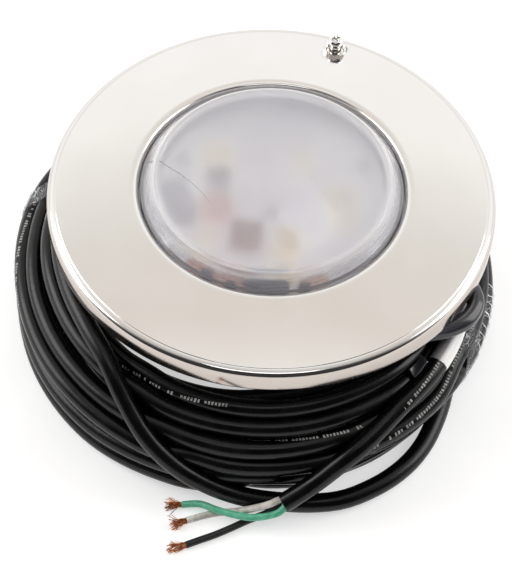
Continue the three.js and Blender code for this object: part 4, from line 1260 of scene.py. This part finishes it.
BRASS = cast_metal("machined_brass", "#A98544", "#CDAA66", 0.3)
ALUMINIUM = cast_metal("cast_aluminium", "#A5A6A8", "#C2C3C5", 0.4)
COPPER_COIL = cast_metal("enamelled_copper_wire", "#8F4B22", "#B56A38", 0.35)
KEPT_FINISHES = {
    BRUSHED: ["niche_hook_tab", "ring_clip_1", "ring_clip_2", "ring_clip_3", "ring_clip_4",
              "screw_retaining_washer", "clamp_band", "band_screw", "band_nut", "housing_shell",
              "cord_entry_boss", "bonding_lug_screw", "board_screw_1", "board_screw_2",
              "board_screw_3", "board_screw_4"],
    RUBBER: ["lens_gasket", "cord_grommet", "cord_strain_relief"],
    BRASS: ["gland_nut", "bonding_lug"],
    ALUMINIUM: ["heat_sink"],
    WHITE_BOARD: ["led_board", "driver_standoff_1", "driver_standoff_2", "driver_standoff_3",
                  "driver_standoff_4"],
    GREEN_BOARD: ["driver_board"],
    LED_RESIN: ["led_emitter_1", "led_emitter_2", "led_emitter_3", "led_emitter_4",
                "led_emitter_5"],
    COPPER_COIL: ["driver_coil"],
    BLACK_PLASTIC: ["board_connector", "driver_capacitor", "lead_terminal_block", "lead_line"],
    conductors["white"].data.materials[0]: ["lead_neutral"],
    conductors["green"].data.materials[0]: ["lead_ground"],
}
for finish, names in KEPT_FINISHES.items():
    for name in names:
        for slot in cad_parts[name].material_slots:
            slot.material = finish
print(sum(map(len, KEPT_FINISHES.values())), "kept parts finished")

# %% [markdown]
# ## Floor and light
# A white floor and a plain studio. The world is white low down and straight overhead, a little
# warmer and greyer between them, and dark on the camera's side, which is what the polished ring
# shows. Two big soft boxes at the sides put the lines of light on the cord, and a small one above
# the camera lifts the front.


# %% Floor
def add_floor():
    mesh = bpy.data.meshes.new("floor")
    side = 6.0
    mesh.from_pydata([(-side, -side, 0), (side, -side, 0), (side, side, 0), (-side, side, 0)], [],
                     [(0, 1, 2, 3)])
    floor = bpy.data.objects.new("floor", mesh)
    bpy.context.scene.collection.objects.link(floor)
    material, tree, shader = start_finish("matt_white_sweep", Roughness=0.9)
    here = add_node(tree, "ShaderNodeTexCoord").outputs["Object"]
    paper = add_node(tree, "ShaderNodeTexNoise", {"Vector": here, "Scale": 30.0, "Detail": 3.0})
    tone = add_node(tree, "ShaderNodeValToRGB", {"Fac": paper.outputs[0]}, [
        (0.3, "#C6C6C6"), (0.7, "#CBCBCB")])
    tree.links.new(tone.outputs[0], shader.inputs["Base Color"])
    shader.inputs["Emission Color"].default_value = (1, 1, 1, 1)
    shader.inputs["Emission Strength"].default_value = 0.55
    return give(floor, material)


floor = add_floor()


# %% World and lights
def add_world():
    world = bpy.data.worlds.new("studio")
    world.use_nodes = True
    bpy.context.scene.world = world
    tree = world.node_tree
    tree.nodes.clear()
    way = add_node(tree, "ShaderNodeTexCoord").outputs["Generated"]
    part = add_node(tree, "ShaderNodeSeparateXYZ", {0: way})
    rise = add_node(tree, "ShaderNodeValToRGB", {"Fac": part.outputs[2]}, [
        (0.0, "#ECECEC"), (0.5, "#FBFBFB"), (0.66, "#FAF9F7"), (0.80, "#E2DFDA"),
        (0.905, "#DFD8D2"), (0.945, "#EAE6E2"), (1.0, "#FBFAF9")]).outputs[0]
    front = add_node(tree, "ShaderNodeMapRange", {"Value": part.outputs[1], "From Min": -0.45,
                                                  "From Max": 0.15, "To Min": 0.06, "To Max": 1.2})
    seen = add_node(tree, "ShaderNodeLightPath").outputs["Is Camera Ray"]
    strength = add_node(tree, "ShaderNodeMath", {0: front.outputs[0], 1: seen}, operation="MAXIMUM")
    light = add_node(tree, "ShaderNodeBackground", {"Color": rise, "Strength": strength.outputs[0]})
    add_node(tree, "ShaderNodeOutputWorld", {"Surface": light.outputs[0]})


def soft_box(name, place, size, watts):
    data = bpy.data.lights.new(name, "AREA")
    data.shape = "RECTANGLE"
    data.size, data.size_y = size
    data.energy = watts
    box = bpy.data.objects.new(name, data)
    box.matrix_world = (Matrix.Translation(place)
                        @ (-Vector(place)).to_track_quat("-Z", "Y").to_matrix().to_4x4())
    bpy.context.scene.collection.objects.link(box)


add_world()
soft_box("soft_box_left", (-1.7, 0.25, 1.1), (1.3, 1.3), 22)
soft_box("soft_box_right", (1.7, 0.25, 1.1), (1.3, 1.3), 18)
soft_box("soft_box_top", (0.0, -0.75, 2.1), (1.1, 0.4), 2.5)
bpy.context.scene.view_settings.view_transform = "Standard"

# %% [markdown]
# ## Tie it all to the model
# Each piece rides on a body and stands for the solids that it replaces; the table also lists a slot name
# for its finish, which nothing here uses.

# %% Bodies, replaced solids and slots
TIED = [
    (main_cord, LIGHT, ["cord_exit_run", "cord_coil", "cord_loose_turn"], "cord_jacket"),
    (conductors["white"], LIGHT, ["conductor_white"], "white_jacket"),
    (conductors["green"], LIGHT, ["conductor_green"], "green_jacket"),
    (conductors["black"], LIGHT, ["conductor_black"], "black_jacket"),
    (coppers["white"], LIGHT, ["copper_white"], "copper"),
    (coppers["green"], LIGHT, ["copper_green"], "copper"),
    (coppers["black"], LIGHT, ["copper_black"], "copper"),
    (ring, LIGHT, ["face_ring"], "polished_steel"),
    (lens, LIGHT, ["lens"], "lens"),
    (cup, LIGHT, ["screw_cup"], "polished_steel"),
    (screw, "pilot_screw_body", ["pilot_screw"], "polished_steel"),
    (label, LIGHT, ["cord_label"], "label_film"),
    (tie_right, LIGHT, ["coil_tie_right"], "clear_tape"),
    (tie_left, LIGHT, ["coil_tie_left"], "clear_tape"),
    (tape_on_strand, LIGHT, [], "clear_tape"),
    (loop, LIGHT, [], "clear_tape"),
    (tag, LIGHT, [], "clear_tape"),
    (edge_of_film, LIGHT, [], "clear_tape"),
]
for piece, body, solids, slot in TIED:
    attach(piece, body)
    if solids:
        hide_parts(*solids)
for part in lamp_parts:
    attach(part, LIGHT)
